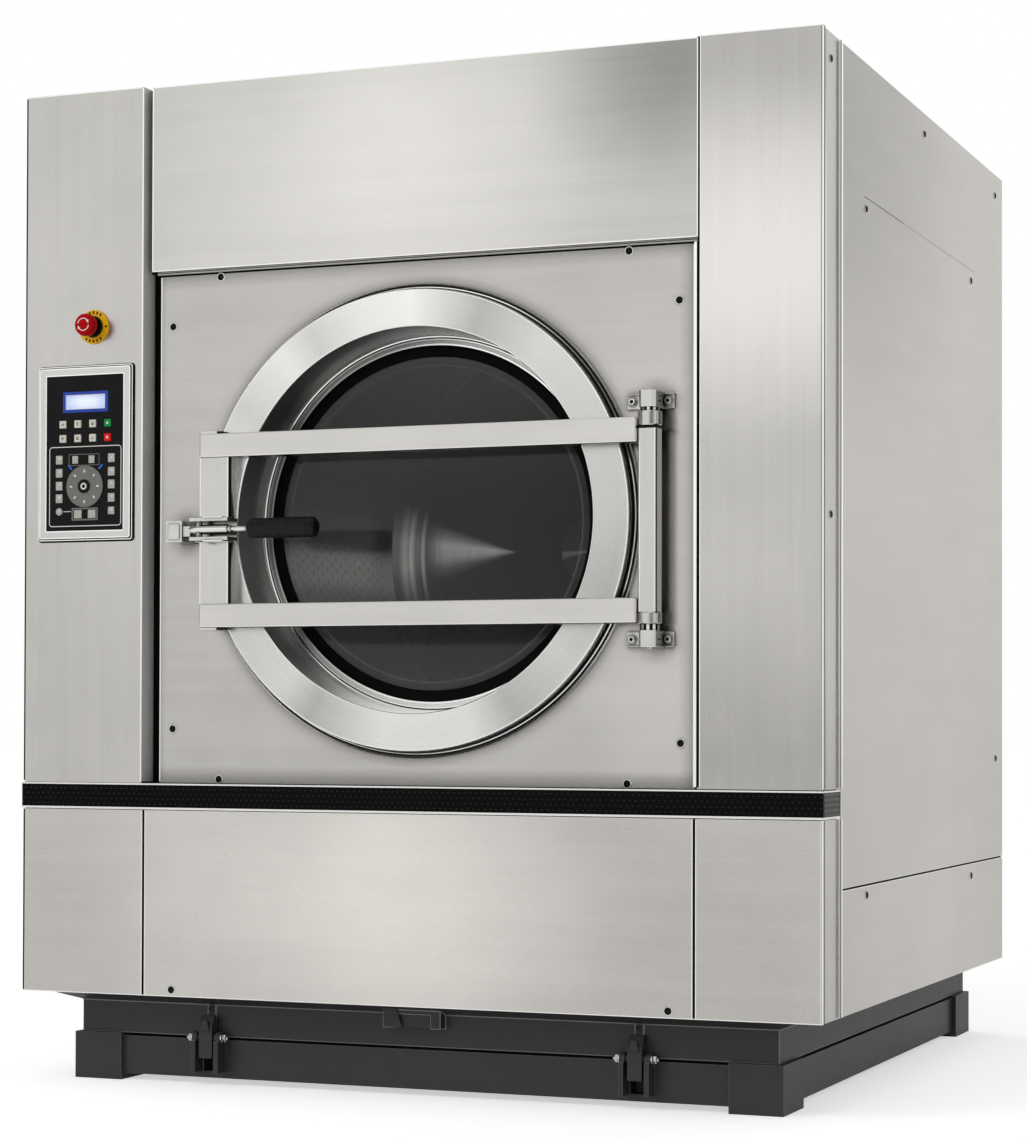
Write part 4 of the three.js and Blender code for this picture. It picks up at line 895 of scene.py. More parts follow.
def makeBarEnds():
    # short end flanges above the top bar and below the bottom bar, each with a black box beside it as painted
    # shade in a slot
    left, cap = bars["left"], bars["left"] + bars["cap"]
    flanges, slots = [], []
    for middle, way in ((bars["top"], 1), (bars["bottom"], -1)):
        edge = middle + way * bars["half"]
        heights = sorted((edge - way * 1, edge + way * bars["proud"]))
        flanges.append((left + 0.4, cap, -28, -4, *heights))
        heights = sorted((edge - way * 0.6, edge + way * (bars["proud"] - 1.5)))
        slots.append((cap + 0.3, cap + 0.3 + bars["notch"], -26, -4, *heights))
    settleBoxes(flanges, "barEndFlanges", "door", "barSteel", "door_steel", 1.0)
    settleBoxes(slots, "barEndSlots", "door", "softBlack", "seal_rubber", 0.6)


drumBack = {"front": 926, "radius": 452, "beads": [(344, 7), (410, 9), (390, 6)]}


def makeDrumBack():
    # turned plate over the drum's rear wall, with pressed beads
    front, radius = drumBack["front"], drumBack["radius"]
    profile = [(70, front + 3), (70, front)]
    for middle, half in sorted(drumBack["beads"]):
        profile += [(middle - half, front), (middle - half * 0.5, front - half * 0.55),
                    (middle, front - half * 0.8), (middle + half * 0.5, front - half * 0.55),
                    (middle + half, front)]
    profile += [(radius, front), (radius, front + 3)]
    settle(spun(profile, doorCentre, 144), "drumBackPlate", "drum_rotor", "drumBack", "drum_steel")


makeDrumBack()
makeDoorRing()
makeDoorWell()
makeDoorGasket()
makeDoorGlass()
makeSurround()
makeBarEnds()
print("door made")


# ---- hinge ----

hinge = {"x": 459, "y": -8, "bottom": 841, "top": 1143, "width": 34, "depth": 30, "sleeve": 20.5, "pin": 12,
         "sleeveTop": 1174.3, "sleeveBottom": 818.7, "topWasher": 6, "bottomWasher": 11, "block": 28}
hingePlace = at(hinge["x"], hinge["y"], 0)


def squareTube():
    # the tube between the sleeves, its upright edges rounded
    half, deep = hinge["width"] / 2, hinge["depth"] / 2
    tube = startBox(hinge["x"] - half, hinge["x"] + half, hinge["y"] - deep, hinge["y"] + deep,
                    hinge["bottom"] - 5, hinge["top"] + 9)
    edit(tube)
    pick(tube, "EDGE", lambda edge: abs(edge.verts[0].co.z - edge.verts[1].co.z) > 0.1)
    bpy.ops.mesh.bevel(offset=0.0045, segments=5, affect="EDGES")
    leave()

    def cornerFinish(face):
        # painted highlights on the rounded corners, with a painted dark line beside them, and the right side
        # face painted lighter
        turn = degrees(atan2(face.normal.x, -face.normal.y))
        if 80 < turn < 100:
            return 3
        if abs(face.normal.z) > 0.5 or min(abs(turn) % 90, 90 - abs(turn) % 90) < 3:
            return 0
        return 2 if 30 < turn < 75 or -80 < turn < -55 else 1

    finishByFace(tube, ["tubeSteel", "edgeSteel", "rimSteel", "returnSteel"], cornerFinish)
    return tube


def hingeSleeve(start, end):
    # a round sleeve with a bore and rims in painted highlight
    radius, bore = hinge["sleeve"], hinge["pin"] + 0.5
    profile = [(bore, start), (radius - 1.2, start), (radius, start + 1.2), (radius, end - 1.4),
               (radius - 1.4, end), (bore, end)]
    sleeve = spun(profile, hingePlace, 64, "Z")
    rim = lambda face: 0.2 < abs(face.normal.z) < 0.95
    twoFinishes(sleeve, "tubeSteel", "edgeSteel", rim)
    return sleeve


def makeHingeTube():
    low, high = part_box("hinge_tube")
    sleeves = [hingeSleeve(hinge["top"] + 7, high.z * 1000), hingeSleeve(low.z * 1000, hinge["bottom"] - 3)]
    settle(merged([squareTube()] + sleeves), "hingeTube", "door", None, "door_steel", "hinge_tube")


def makeHingeRings():
    # dark gaps between the tube and its sleeves
    half, deep = hinge["width"] / 2 + 1, hinge["depth"] / 2 + 1
    rings = [(hinge["x"] - half, hinge["x"] + half, hinge["y"] - deep, hinge["y"] + deep, start, start + tall)
             for start, tall in ((hinge["top"] + 2, 6.4), (hinge["bottom"] - 4.4, 1.6))]
    settleBoxes(rings, "hingeShadowRings", "door", "softBlack", "seal_rubber", 0.7)


def toothedWasher(start, end):
    # a ring with alternate flats sunk in
    middle = at(hinge["x"], hinge["y"], (start + end) / 2)
    disc = startDisc(hinge["pin"] + 5, abs(end - start), middle, "Z", 20)
    edit(disc)

    def alternate(face):
        if abs(face.normal.z) > 0.5:
            return False
        turn = degrees(atan2(face.normal.y, face.normal.x)) % 360
        return int(turn / 18 + 0.01) % 2 == 0

    pick(disc, "FACE", alternate)
    bpy.ops.mesh.inset(thickness=0.0004, depth=-0.0024, use_individual=True)
    leave()
    softened(disc, 0.3, 2)

    # the sunk flats are black as painted shade
    def sunk(face):
        reach = Vector((face.center.x - hingePlace.x, face.center.y - hingePlace.y)).length * 1000
        return reach < hinge["pin"] + 4.2 and abs(face.normal.z) < 0.7

    twoFinishes(disc, "trimSteel", "softBlack", sunk)
    return disc


def socketScrew(x, y, z, radius, height, washer, look="polishedSteel"):
    # head with a socket, on a washer, pointing to the front; the socket is black as painted shade
    place = at(x, y, z)
    profile = [(0, 0), (washer, 0), (washer, -1.2), (washer - 0.6, -1.8), (radius, -1.8),
               (radius, 0.9 - height), (radius - 0.9, -height), (radius * 0.52, -height),
               (radius * 0.48, -height + 0.6), (radius * 0.46, 2.6 - height), (0, 2.6 - height)]
    head = spun(profile, place, 36)

    def inSocket(face):
        return fromAxis(face.center, place) < radius * 0.5 and face.center.y > place.y - (height - 0.5) / 1000

    twoFinishes(head, look, "softBlack", inSocket)
    return head


# x and y from and to of the block, the ears on the panel and the lip
bracketBox = {"block": (444, 474, -26, 27), "ears": (407, 491, 24.7, 29.7), "lip": (407, 491, 21.5, 26)}
bracketScrew = {"y": 24.7, "radius": 6.2, "height": 7, "washer": 8.6}
bracketScrewPlaces = (417, 481)


def bracketBlock(z0, z1):
    block = startBox(*bracketBox["block"], z0, z1)
    edit(block)
    pick(block, "EDGE", lambda edge: abs(edge.verts[0].co.z - edge.verts[1].co.z) > 0.02
         and edge.verts[0].co.y < hingePlace.y)
    bpy.ops.mesh.bevel(offset=0.005, segments=1, affect="EDGES")
    leave()
    return softened(block, 0.8, 2, 25)


def bracketPins(near, far, way, washer):
    # the nub beyond the block and the pin into the sleeve
    profile = [(0, far - way), (4.5, far - way), (4.5, far + way * 2), (3, far + way * 3), (0, far + way * 3)]
    nub = spun(profile, hingePlace, 24, "Z")
    start, end = near + way * 4, near - way * (washer + 18)
    pin = spun([(0, start), (hinge["pin"], start), (hinge["pin"], end), (0, end)], hingePlace, 40, "Z")
    return [nub, pin]


def makeHingeBracket(name, node, near, way, washer):
    far = near + way * hinge["block"]
    z0, z1 = sorted((near, far))
    ears = roundedBox(*bracketBox["ears"], z0 + 1, z1 - 1, soft=1.4)
    lip = roundedBox(*bracketBox["lip"], *sorted((far - way * 1.2, far - way * 3.4)), soft=1.0)
    body = merged([bracketBlock(z0, z1), ears, lip] + bracketPins(near, far, way, washer))
    # the small bevel faces take painted highlight steel
    small = lambda face: face.area < 0.00012 and abs(face.normal.y) < 0.95
    twoFinishes(body, "polishedSteel", "edgeSteel", small)
    settle(body, name, "cabinet", None, "polished_steel", node, angle=28)
    settle(toothedWasher(near, near - way * washer), name + "Washer", "cabinet", None, "polished_steel")
    screws = [socketScrew(x, z=(z0 + z1) / 2, **bracketScrew) for x in bracketScrewPlaces]
    settle(merged(screws), name + "Screws", "cabinet", None, "polished_steel")


makeHingeTube()
makeHingeRings()
for name, node, sleeve, way in (("hingeBracketTop", "hinge_bracket_top", "sleeveTop", 1),
                                ("hingeBracketBottom", "hinge_bracket_bottom", "sleeveBottom", -1)):
    washer = hinge["topWasher"] if way > 0 else hinge["bottomWasher"]
    makeHingeBracket(name, node, hinge[sleeve] + way * (0.3 + washer), way, washer)
print("hinge made")


# ---- latch ----

# tab, rim and cover: x from and to, y from and to
latch = {"pin": -366, "plane": -54, "z": 992, "nose": -386, "tail": -308, "rodEnd": -266, "grip": -268,
         "end": -135, "tab": (-352, -312, -70.4, -34), "rim": (-451, -447, -21, 27),
         "cover": (-444, -422, -25.6, -22)}


def makeLever():
    axis = at(0, latch["plane"], latch["z"])
    nose, tail, rodEnd = latch["nose"], latch["tail"], latch["rodEnd"]
    profile = [(0, nose), (2.6, nose), (4.4, nose + 1.8), (7.6, nose + 14), (8.7, nose + 24), (8.7, tail - 2),
               (7.6, tail), (4.6, tail + 0.6), (4.4, rodEnd), (0, rodEnd)]
    lever = spun(profile, axis, 48, "X")
    settle(lever, "latchLever", "handle", "trimSteel", "polished_steel", "latch_lever")
    profile = [(4.5, tail + 1), (6.4, tail + 1), (6.8, tail + 2), (6.8, tail + 5), (6.2, tail + 6),
               (4.5, tail + 6)]
    collar = spun(profile, axis, 40, "X")
    settle(collar, "leverCollar", "handle", "polishedSteel", "polished_steel")


def makeGrip():
    axis = at(0, latch["plane"], latch["z"])
    start, end = latch["grip"], latch["end"]
    profile = [(0, start + 1), (9, start), (13.5, start + 1), (16.2, start + 4), (17.2, start + 8),
               (17.8, start + 40), (18, start + 84), (18, end - 16), (17.4, end - 15.2), (17.4, end - 13.6),
               (18, end - 12.8), (17.6, end - 8), (16, end - 4), (13, end - 1.4), (9, end - 0.2), (0, end)]
    grip = spun(profile, axis, 56, "X")
    settle(grip, "handleGrip", "handle", "gripBlack", "grip_black", "handle_grip")


def makeLatchPins():
    place = at(latch["pin"], latch["plane"], 0)
    heads = []
    for z, way in ((latch["z"] + 23, 1), (latch["z"] - 23, -1)):
        profile = [(0, z - way * 3.4), (8.2, z - way * 3.4), (8.2, z - way * 1), (6.8, z), (0, z + way * 0.4)]
        heads.append(spun(profile, place, 32, "Z"))
    settle(merged(heads), "latchPinHeads", "door", "trimSteel", "polished_steel")
    # the guide's tabs in painted highlight steel
    tabs = [(*latch["tab"], z - 1.2, z + 1.2) for z in (latch["z"] + 20.6, latch["z"] - 20.6)]
    settleBoxes(tabs, "latchGuideTabs", "door", "edgeSteel", "polished_steel", 0.8)


def makeLockCover():
    rim = roundedBox(*latch["rim"], latch["z"] - 16, latch["z"] + 16, soft=1.6)
    face = startBox(*latch["cover"], latch["z"] - 14, latch["z"] + 14)
    insetFaces(face, lambda f: f.normal.y < -0.9, (2.2, -0.8))
    softened(face, 0.5, 2)
    settle(merged([rim, face]), "lockCover", "cabinet", "polishedSteel", "polished_steel")


makeLever()
makeGrip()
makeLatchPins()
makeLockCover()
print("latch made")


# ---- panel fasteners ----

screw = {"radius": 8.4, "height": 1.7, "socket": 6.2}
sheets = {"front": 30, "side": 752.5, "rear": 1421, "top": 1800}
frontScrews = [(-369, 1452), (408, 1452), (-465, 1367), (498, 1364), (-463, 640), (501, 619), (-369, 550),
               (406, 550)]
sideScrews = [(58, 1756), (58, 999), (720, 1760), (1348, 1755), (288, 1545), (1120, 1543), (1352, 580),
              (293, 356), (1120, 348)]

# turn about an axis, and places
fasteners = {
    "frontPanelScrews": (0, "Z", [(x, sheets["front"], z) for x, z in frontScrews]),
    "lowerPanelScrews": (0, "Z", [(-447.5, 0, 173), (489.5, 0, 173)]),
    "rightSideScrews": (90, "Z", [(sheets["side"], y, z) for y, z in sideScrews]),
    "leftSideScrews": (-90, "Z", [(-sheets["side"], y, z) for y, z in sideScrews]),
    "rearScrews": (180, "Z", [(x, sheets["rear"], z) for x in (-250, -720, 250, 720)
                              for z in (200, 760, 1330, 1770)]),
    "topScrews": (-90, "X", [(x, y, sheets["top"]) for x in (-240, -715, 240, 715) for y in (90, 720, 1380)]),
}


def buttonScrew():
    # a black head in a bright washer, at the origin of the fronts
    place = at(0, 0, 0)
    radius, height, socket = screw["radius"], screw["height"], screw["socket"]
    profile = [(0, 0.4), (radius, 0.4), (radius, -0.3), (radius - 0.6, -0.9), (socket + 0.2, -0.9),
               (socket, -0.5), (socket - 0.3, -height), (socket - 1.8, -height - 0.5), (2.8, -height - 0.5),
               (2.5, -height + 0.7), (0, -height + 0.7)]
    head = spun(profile, place, 32)
    dark = lambda face: fromAxis(face.center, place) < socket + 0.05
    twoFinishes(head, "trimSteel", "softBlack", dark)
    return head


def makeFasteners():
    model = buttonScrew()
    for name, (turn, axis, spots) in fasteners.items():
        turned = turnedCopy(model, turn, axis, at(0, 0, 0))
        settle(merged([shifted(turned, *spot) for spot in spots]), name, "cabinet", None, "polished_steel")
        bpy.data.objects.remove(turned)
    bpy.data.objects.remove(model)


makeFasteners()
print("fasteners made")


# ---- seams, trims and the band ----

band = {"half": 756.5, "front": -4, "wrap": 100, "low": 495, "high": 542, "trim": 3.0}


def makeBandTrims():
    half, front = band["half"] + 0.2, band["front"] - 0.3
    for name, z, tall in (("bandTrimTop", band["high"] - band["trim"], band["trim"]),
                          ("bandTrimBottom", band["low"], band["trim"] + 1)):
        corners = [(-half, band["wrap"]), (-half, front), (half, front), (half, band["wrap"])]
        path = [at(x, y, z) for x, y in corners]
        strip = ribbon(path, Vector((0, 0, tall / 1000)), 1.6)
        softened(strip, 0.5, 2)
        settle(strip, name, "cabinet", "trimSteel", "polished_steel")


def makeBandReturns():
    # ribbed covers on the band's short side returns
    covers = []
    for side in (-1, 1):
        x0, x1 = sorted((side * (band["half"] - 0.4), side * (band["half"] + 0.5)))
        cover = startBox(x0, x1, 3, band["wrap"] - 1, band["low"] + 5, band["high"] - 4)
        insetFaces(cover, lambda face: face.normal.x * side > 0.9, (2, 0))
        covers.append(softened(cover, 0.3, 2))
    settle(merged(covers), "bandReturns", "cabinet", "bandRibs", "band_black")


seams = {"right": 539.8, "top": 1799.6, "black": 3.4, "panelLow": 545, "recess": 30, "fascia": 10,
         "half": 756}

# boxes in the gaps round the recessed front panel: black rubber as painted shade, and returns in a lighter
# steel as painted light
gapShadeBoxes = [(-509.8, -490.9, 44, 47, 543, 1464), (525.8, 539.3, 38, 47, 543, 1464),
            (-498, 537, 31, 40, 1458.3, 1461.6), (-509.8, -498.8, 30, 47, 1465, seams["top"]),
            (seams["right"], seams["right"] + seams["black"], -0.3, 1.5, 546, seams["top"] - 2)]
gapReturns = [(-510.5, -510.1, 0.8, 43, 545, seams["top"]), (-498, 537, 30.6, 40, 1461.8, 1464.6)]


def makePanelGapShade():
    settleBoxes(gapShadeBoxes, "panelGapShade", "cabinet", "sealRubber", "seal_rubber", 0.3, 2)
    settleBoxes(gapReturns, "panelGapReturns", "cabinet", "returnSteel", "stainless_sheet", 0.15, 1)


def edgeLines():
    # painted highlight lines along the folded edges: x from and to, y, z from and to
    right, top, half = seams["right"] + seams["black"], seams["top"], seams["half"]
    panelLow, recess, fascia = seams["panelLow"], seams["recess"], seams["fascia"]
    lines = [(-513.4, -510.6, 0, panelLow, top), (right, right + 1.8, 0, panelLow + 1, top),
             (half - 1.8, half + 0.6, 0, panelLow, top), (half - 1.8, half + 0.6, 0, 161, 494),
             (-498.4, -495.8, fascia, 1466, top), (534.6, 537.4, fascia, 1466, top),
             (-498, 537, fascia, 1465.2, 1467.4), (-490.4, -488, recess, panelLow, 1457),
             (522.8, 525.4, recess, panelLow, 1457), (-half, half, 0, 160.6, 162.4)]
    for start, end, front in ((-half, -511, 0), (-498, 537, fascia), (545, half, 0)):
        lines.append((start, end, front, 1798, 1799.8))
    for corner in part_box("lower_front_panel"):
        x = corner.x * 1000
        lines += [(x - 4.2, x - 2.3, 0, 162, 493), (x + 2.3, x + 4.2, 0, 162, 493)]
    return lines


def makeFrontEdges():
    pieces = [roundedBox(x0, x1, y - 0.35, y + 0.5, z0, z1, soft=0.3, segments=2)
              for x0, x1, y, z0, z1 in edgeLines()]
    # a painted highlight strip in the gap at the right of the front panel
    pieces.append(roundedBox(529.4, 534.0, 13, 36, 546, 1458, soft=0.4, segments=2))
    return pieces


def sideLine(side, x, start, end, low, high):
    # an upright line half a millimetre thick on the cabinet's side
    x0, x1 = sorted((side * (x - 0.5), side * x))
    return roundedBox(x0, x1, start, end, low, high, soft=0.15, segments=1)


def makeEdgeLines():
    bright, dark = makeFrontEdges(), []
    corner, sheet = seams["half"] + 0.6, seams["half"] - 3.3
    for side, word in ((-1, "left"), (1, "right")):
        for node, low, high in ((word + "_column", 545, 1798), ("lower_" + word + "_panel", 162, 493)):
            fold = (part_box(node)[1].y - columnFront) * 1000
            # painted shadow lines and a painted highlight line along the sides' folds
            dark.append(sideLine(side, corner, 1.6, 8, low, high))
            dark.append(sideLine(side, corner, fold - 15, fold - 10, low, high))
            bright.append(sideLine(side, corner, fold - 9, fold - 1, low, high))
            dark.append(sideLine(side, sheet, fold + 1, fold + 7, low, high))
    settle(merged(bright), "foldedEdges", "cabinet", "edgeSteel", "stainless_sheet")
    settle(merged(dark), "foldShadows", "cabinet", "rimSteel", "seal_rubber")


def makeLowerSeams():
    # dark lines between the lower panels
    lines = []
    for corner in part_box("lower_front_panel"):
        x = corner.x * 1000
        lines.append((x - 2.1, x + 2.1, -0.3, 1.2, 162, 493.5))
    settleBoxes(lines, "lowerSeamLines", "cabinet", "sealRubber", "seal_rubber", 0.15, 2)


def makeChannelLines():
    # painted shadow lines and painted highlight lines beside the latch channel, open where the bolt passes
    low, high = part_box("latch_channel")
    left, right = low.x * 1000, high.x * 1000
    front = (low.y - columnFront) * 1000
    z0, z1 = bars["bottom"] + bars["half"] + 0.5, bars["top"] - bars["half"] - 0.5
    dark = [(right - 0.1, right + 1.6, front + 3, front + 9, z0, z1)]
    for start, end in ((z0, latch["z"] - 26), (latch["z"] + 26, z1)):
        dark.append((left - 1.2, left + 0.1, front + 2, front + 12, start, end))
    bright = [(right - 2.6, right - 0.4, front - 0.4, front + 0.6, z0, z1),
              (left + 0.4, left + 2.2, front - 0.4, front + 0.6, z0, z1)]
    settleBoxes(dark, "channelShadows", "door", "softBlack", "seal_rubber", 0.2, 1)
    settleBoxes(bright, "channelEdges", "door", "edgeSteel", "door_steel", 0.3, 2)


def makeBarShadows():
    # painted shade on the undersides of the door's bars
    heights = [middle - bars["half"] for middle in (bars["top"], bars["bottom"])]
    plates = [(bars["left"] + 1, bars["right"], -29.4, -1, z - 0.45, z - 0.05) for z in heights]
    settleBoxes(plates, "barUndersides", "door", "rimSteel", "door_steel", 0.1, 1)


crease = {"inner": 752.2, "outer": 752.9, "front": 277, "rear": 1145, "low": 1563.6, "high": 1566.4}
louvre = {"left": 170, "right": 330, "front": 1420.4, "rear": 1429, "low": 560, "high": 574, "pitch": 26,
          "rows": 8, "apart": 200}


def makeSideCrease():
    # the folded line high on each side panel, in a darker steel as painted shade along the fold
    creases = []
    for side in (-1, 1):
        x0, x1 = sorted((side * crease["inner"], side * crease["outer"]))
        fold = startBox(x0, x1, crease["front"], crease["rear"], crease["low"], crease["high"])
        insetFaces(fold, lambda face: face.normal.x * side > 0.9, (0.9, -0.4))
        creases.append(softened(fold, 0.25, 2))
    settle(merged(creases), "sideCreases", "cabinet", "tubSteel", "stainless_sheet")


def makeLouvres():
    # pressed air slots low on the back, one shaped and copied
    rear, high = louvre["rear"], louvre["high"]
    slot = startBox(louvre["left"], louvre["right"], louvre["front"], rear, louvre["low"], high)
    corner = at(0, rear - 1, high - 1)
    edit(slot)
    pick(slot, "EDGE", lambda e: all(v.co.z > corner.z and v.co.y > corner.y for v in e.verts))
    bpy.ops.transform.translate(value=(0, -0.0075, 0))
    leave()
    insetFaces(slot, lambda face: face.normal.z < -0.9, (1.2, -4))
    softened(slot, 1.2)
    rows = [shifted(slot, x, 0, louvre["pitch"] * i)
            for x in (0, louvre["apart"]) for i in range(louvre["rows"])]
    bpy.data.objects.remove(slot)
    settle(merged(rows), "rearLouvres", "cabinet", "sideSteel", "stainless_sheet")


makeBandTrims()
makeBandReturns()
makePanelGapShade()
makeEdgeLines()
makeLowerSeams()
makeChannelLines()
makeBarShadows()
makeSideCrease()
makeLouvres()
print("trims made")


# ---- emergency stop ----

stop = {"x": -611.5, "z": 1370, "head": 20.5, "arrow": 10.7, "front": -40.3, "rear": -20.3}
stopPlace = at(stop["x"], 0, stop["z"])


def makeStopHead():
    radius, front, rear = stop["head"], stop["front"], stop["rear"]
    profile = [(0, rear), (15, rear), (17.5, rear - 1.2), (radius - 0.4, rear - 4), (radius, rear - 7),
               (radius, rear - 12), (radius - 0.7, rear - 15.4), (radius - 2.6, rear - 18),
               (radius - 6, rear - 19.4), (8, front), (0, front)]
    head = spun(profile, stopPlace, 64)
    settle(head, "stopHead", "stop_cap", "stopRed", "stop_red", "stop_head")


def makeStopArrows():
    # two printed arcs with a point at the end of each
    x, z, front = stop["x"], stop["z"] + stop["arrow"], stop["front"]
    profile = [(10.2, front + 0.5), (10.2, front - 0.25), (11.8, front - 0.1), (11.8, front + 0.7)]
    arrows = turnedRow(spun(profile, stopPlace, 24, arc=150), (-20, -200), stopPlace)
    point = startBox(x - 2.6, x + 2.6, front - 0.25, front + 0.6, z - 2.5, z + 2.5)
    edit(point)
    pick(point, "VERT", lambda v: v.co.x > stopPlace.x)
    bpy.ops.transform.resize(value=(1, 1, 0.2), center_override=at(x + 2.6, 0, z))
    leave()
    arrows += turnedRow(point, (62, 242), stopPlace)
    settle(merged(arrows), "stopHeadArrows", "stop_cap", "printWhite", "stop_red")


def makeStopPlate():
    # plain dashes in place of words
    x, z = stop["x"], stop["z"]
    dash = roundedBox(x - 1.7, x + 1.7, -3.6, -3.0, z + 23.6, z + 28.6, soft=0.3, segments=1)
    dashes = turnedRow(dash, (-34, -17, 0, 17, 34, 90, 146, 163, 180, 197, 214), stopPlace)
    settle(merged(dashes), "stopPlateMarks", "cabinet", "softBlack", "stop_stem_black")
    profile = [(11.6, -3.2), (19, -3.2), (19.6, -3.9), (19.2, -6.6), (17.6, -7.6), (11.6, -7.6)]
    collar = spun(profile, stopPlace, 56)
    settle(collar, "stopCollar", "cabinet", "softBlack", "stop_stem_black")


makeStopHead()
makeStopArrows()
makeStopPlate()
print("emergency stop made")


# ---- keypad ----

keypad = {"x": -627, "z": 1141, "width": 195, "tall": 318, "border": 17.5, "front": -6.3, "film": -4.3,
          "displayX": -626.5, "displayZ": 1234, "displayWidth": 94, "displayTall": 38}


def roundedFrame(x, z, width, tall, border, y0, y1, corner, inner=1.0, steps=5):
    # a flat frame cut from one plate, its corners rounded last
    piece = startBox(x - width / 2, x + width / 2, y0, y1, z - tall / 2, z + tall / 2)
    edit(piece)
    pick(piece, "FACE", lambda f: abs(f.normal.y) > 0.9)
    bpy.ops.mesh.inset(thickness=border / 1000, use_individual=True)
    middle = at(x, 0, z)
    pick(piece, "FACE", lambda f: abs(f.normal.y) > 0.9 and abs(f.calc_center_median().x - middle.x) < 0.001
         and abs(f.calc_center_median().z - middle.z) < 0.001)
    bpy.ops.mesh.bridge_edge_loops()
    for reach, radius in ((width / 2, corner), (width / 2 - border, inner)):
        pick(piece, "EDGE", lambda e: abs(e.verts[0].co.y - e.verts[1].co.y) > (y1 - y0) / 2000
             and abs(abs(e.verts[0].co.x - middle.x) - reach / 1000) < 0.0001)
        bpy.ops.mesh.bevel(offset=radius / 1000, segments=steps, affect="EDGES")
    tidyMesh()
    return piece


def makeBezel():
    x, z, wide, tall = keypad["x"], keypad["z"], keypad["width"], keypad["tall"]
    border, front = keypad["border"], keypad["front"]
    base = roundedFrame(x, z, wide, tall, border, front + 2.4, -0.3, 5)
    lip = roundedFrame(x, z, wide - 7, tall - 7, border - 3.5, front, front + 2.4, 4)
    for piece in (base, lip):
        softened(piece, 0.7, 2, 40)
    settle(merged([base, lip]), "keypadBezel", "cabinet", "bezelSteel", "stainless_sheet", "keypad_bezel")
    # black lines round the bezel, shifted down and to the right, and at its lip's step: painted shadow
    lines = [roundedFrame(x + 0.7, z - 0.7, wide + 4.6, tall + 4.6, 3.4, -0.9, -0.1, 7),
             roundedFrame(x, z, wide - 3.4, tall - 3.4, 2.2, front + 1.9, front + 2.8, 5)]
    settle(merged(lines), "bezelLines", "cabinet", "softBlack", "seal_rubber")
    # painted highlight lines along the bezel's edges
    edges = [roundedFrame(x, z, wide - 0.3, tall - 0.3, 1.6, front + 2.1, front + 2.8, 5),
             roundedFrame(x, z, wide - 7.2, tall - 7.2, 2.0, front - 0.2, front + 0.6, 4),
             roundedFrame(x, z, wide - 31.4, tall - 31.4, 2.0, front - 0.2, front + 0.6, 2)]
    settle(merged(edges), "bezelEdges", "cabinet", "edgeSteel", "stainless_sheet")


def makeDisplay():
    x, z = keypad["displayX"], keypad["displayZ"]
    wide, tall, front = keypad["displayWidth"] / 2, keypad["displayTall"] / 2, keypad["film"] - 0.8
    piece = startBox(x - wide, x + wide, front, front + 5, z - tall, z + tall)
    insetFaces(piece, lambda f: f.normal.y < -0.9, (6.2, 0), (1.4, -0.6))
    softened(piece, 0.5, 2)
    inner = at(x - wide + 6.6, 0, z - tall + 6.6), at(x + wide - 6.6, 0, z + tall - 6.6)

    def isScreen(face):
        c = face.center
        return inner[0].x < c.x < inner[1].x and inner[0].z < c.z < inner[1].z and face.normal.y < -0.9

    twoFinishes(piece, "displayBlue", "screenPale", isScreen)
    settle(piece, "displayUnit", "cabinet", None, "display_face", "display")
    line = roundedFrame(x, z, 81.5, 26.5, 1.1, front - 0.5, front + 0.3, 1, 0.4, 2)
    settle(line, "displayLine", "cabinet", "printWhite", "display_face")


keys = {"pitch": 31, "row": 26, "top": 1194, "front": -6.8,
        "names": ["key_1", "key_2", "key_3", "start_key", "key_4", "key_5", "key_6", "stop_key"]}


def makeKeyMarks():
    front = keys["front"]
    lampProfile = [(0, front - 0.9), (1.2, front - 0.8), (2.2, front - 0.4), (2.6, front + 0.4),
                   (0, front + 0.4)]
    for i, name in enumerate(keys["names"]):
        x = keypad["displayX"] + (i % 4 - 1.5) * keys["pitch"]
        z = keys["top"] - (i // 4) * keys["row"]
        if name in ("start_key", "stop_key"):
            lamp = spun(lampProfile, at(x, 0, z), 24)
            settle(lamp, name + "Lamp", name + "_button", "printWhite", "key_ivory")
            continue
        marks = []
        for n in range(2 + i % 3):
            left = x - 2.6 + 2.1 * (n % 2)
            low = z - 2.4 + 1.9 * (n % 3)
            marks.append((left, left + 3.2, front - 0.25, front + 0.3, low, low + 1.3))
        settleBoxes(marks, name + "Mark", name + "_button", "softBlack", "keypad_black", 0.2, 1)


# the lower field: its two columns of keys, their rows and the row at the end
field = {"x": -626.5, "z": 1080.5, "width": 150, "tall": 146, "left": -680.5, "right": -572, "end": 1035,
         "leftRows": (1129.5, 1105.5, 1082, 1059), "rightRows": (1130.5, 1106, 1083, 1058.5),
         "lampRows": (1130, 1106, 1082.5, 1059)}


def softKey(x, z, wide, tall):
    # a small domed key
    front = keypad["film"]
    return roundedBox(x - wide / 2, x + wide / 2, front - 1.9, front + 0.5, z - tall / 2, z + tall / 2,
                      soft=1.7, segments=4)


def makeFieldOutline():
    front = keypad["film"]
    outline = roundedFrame(field["x"], field["z"], field["width"], field["tall"], 1.5, front - 0.7,
                           front + 0.3, 6, 4.5)
    settle(outline, "lowerFieldLine", "cabinet", "polishedSteel", "keypad_black")


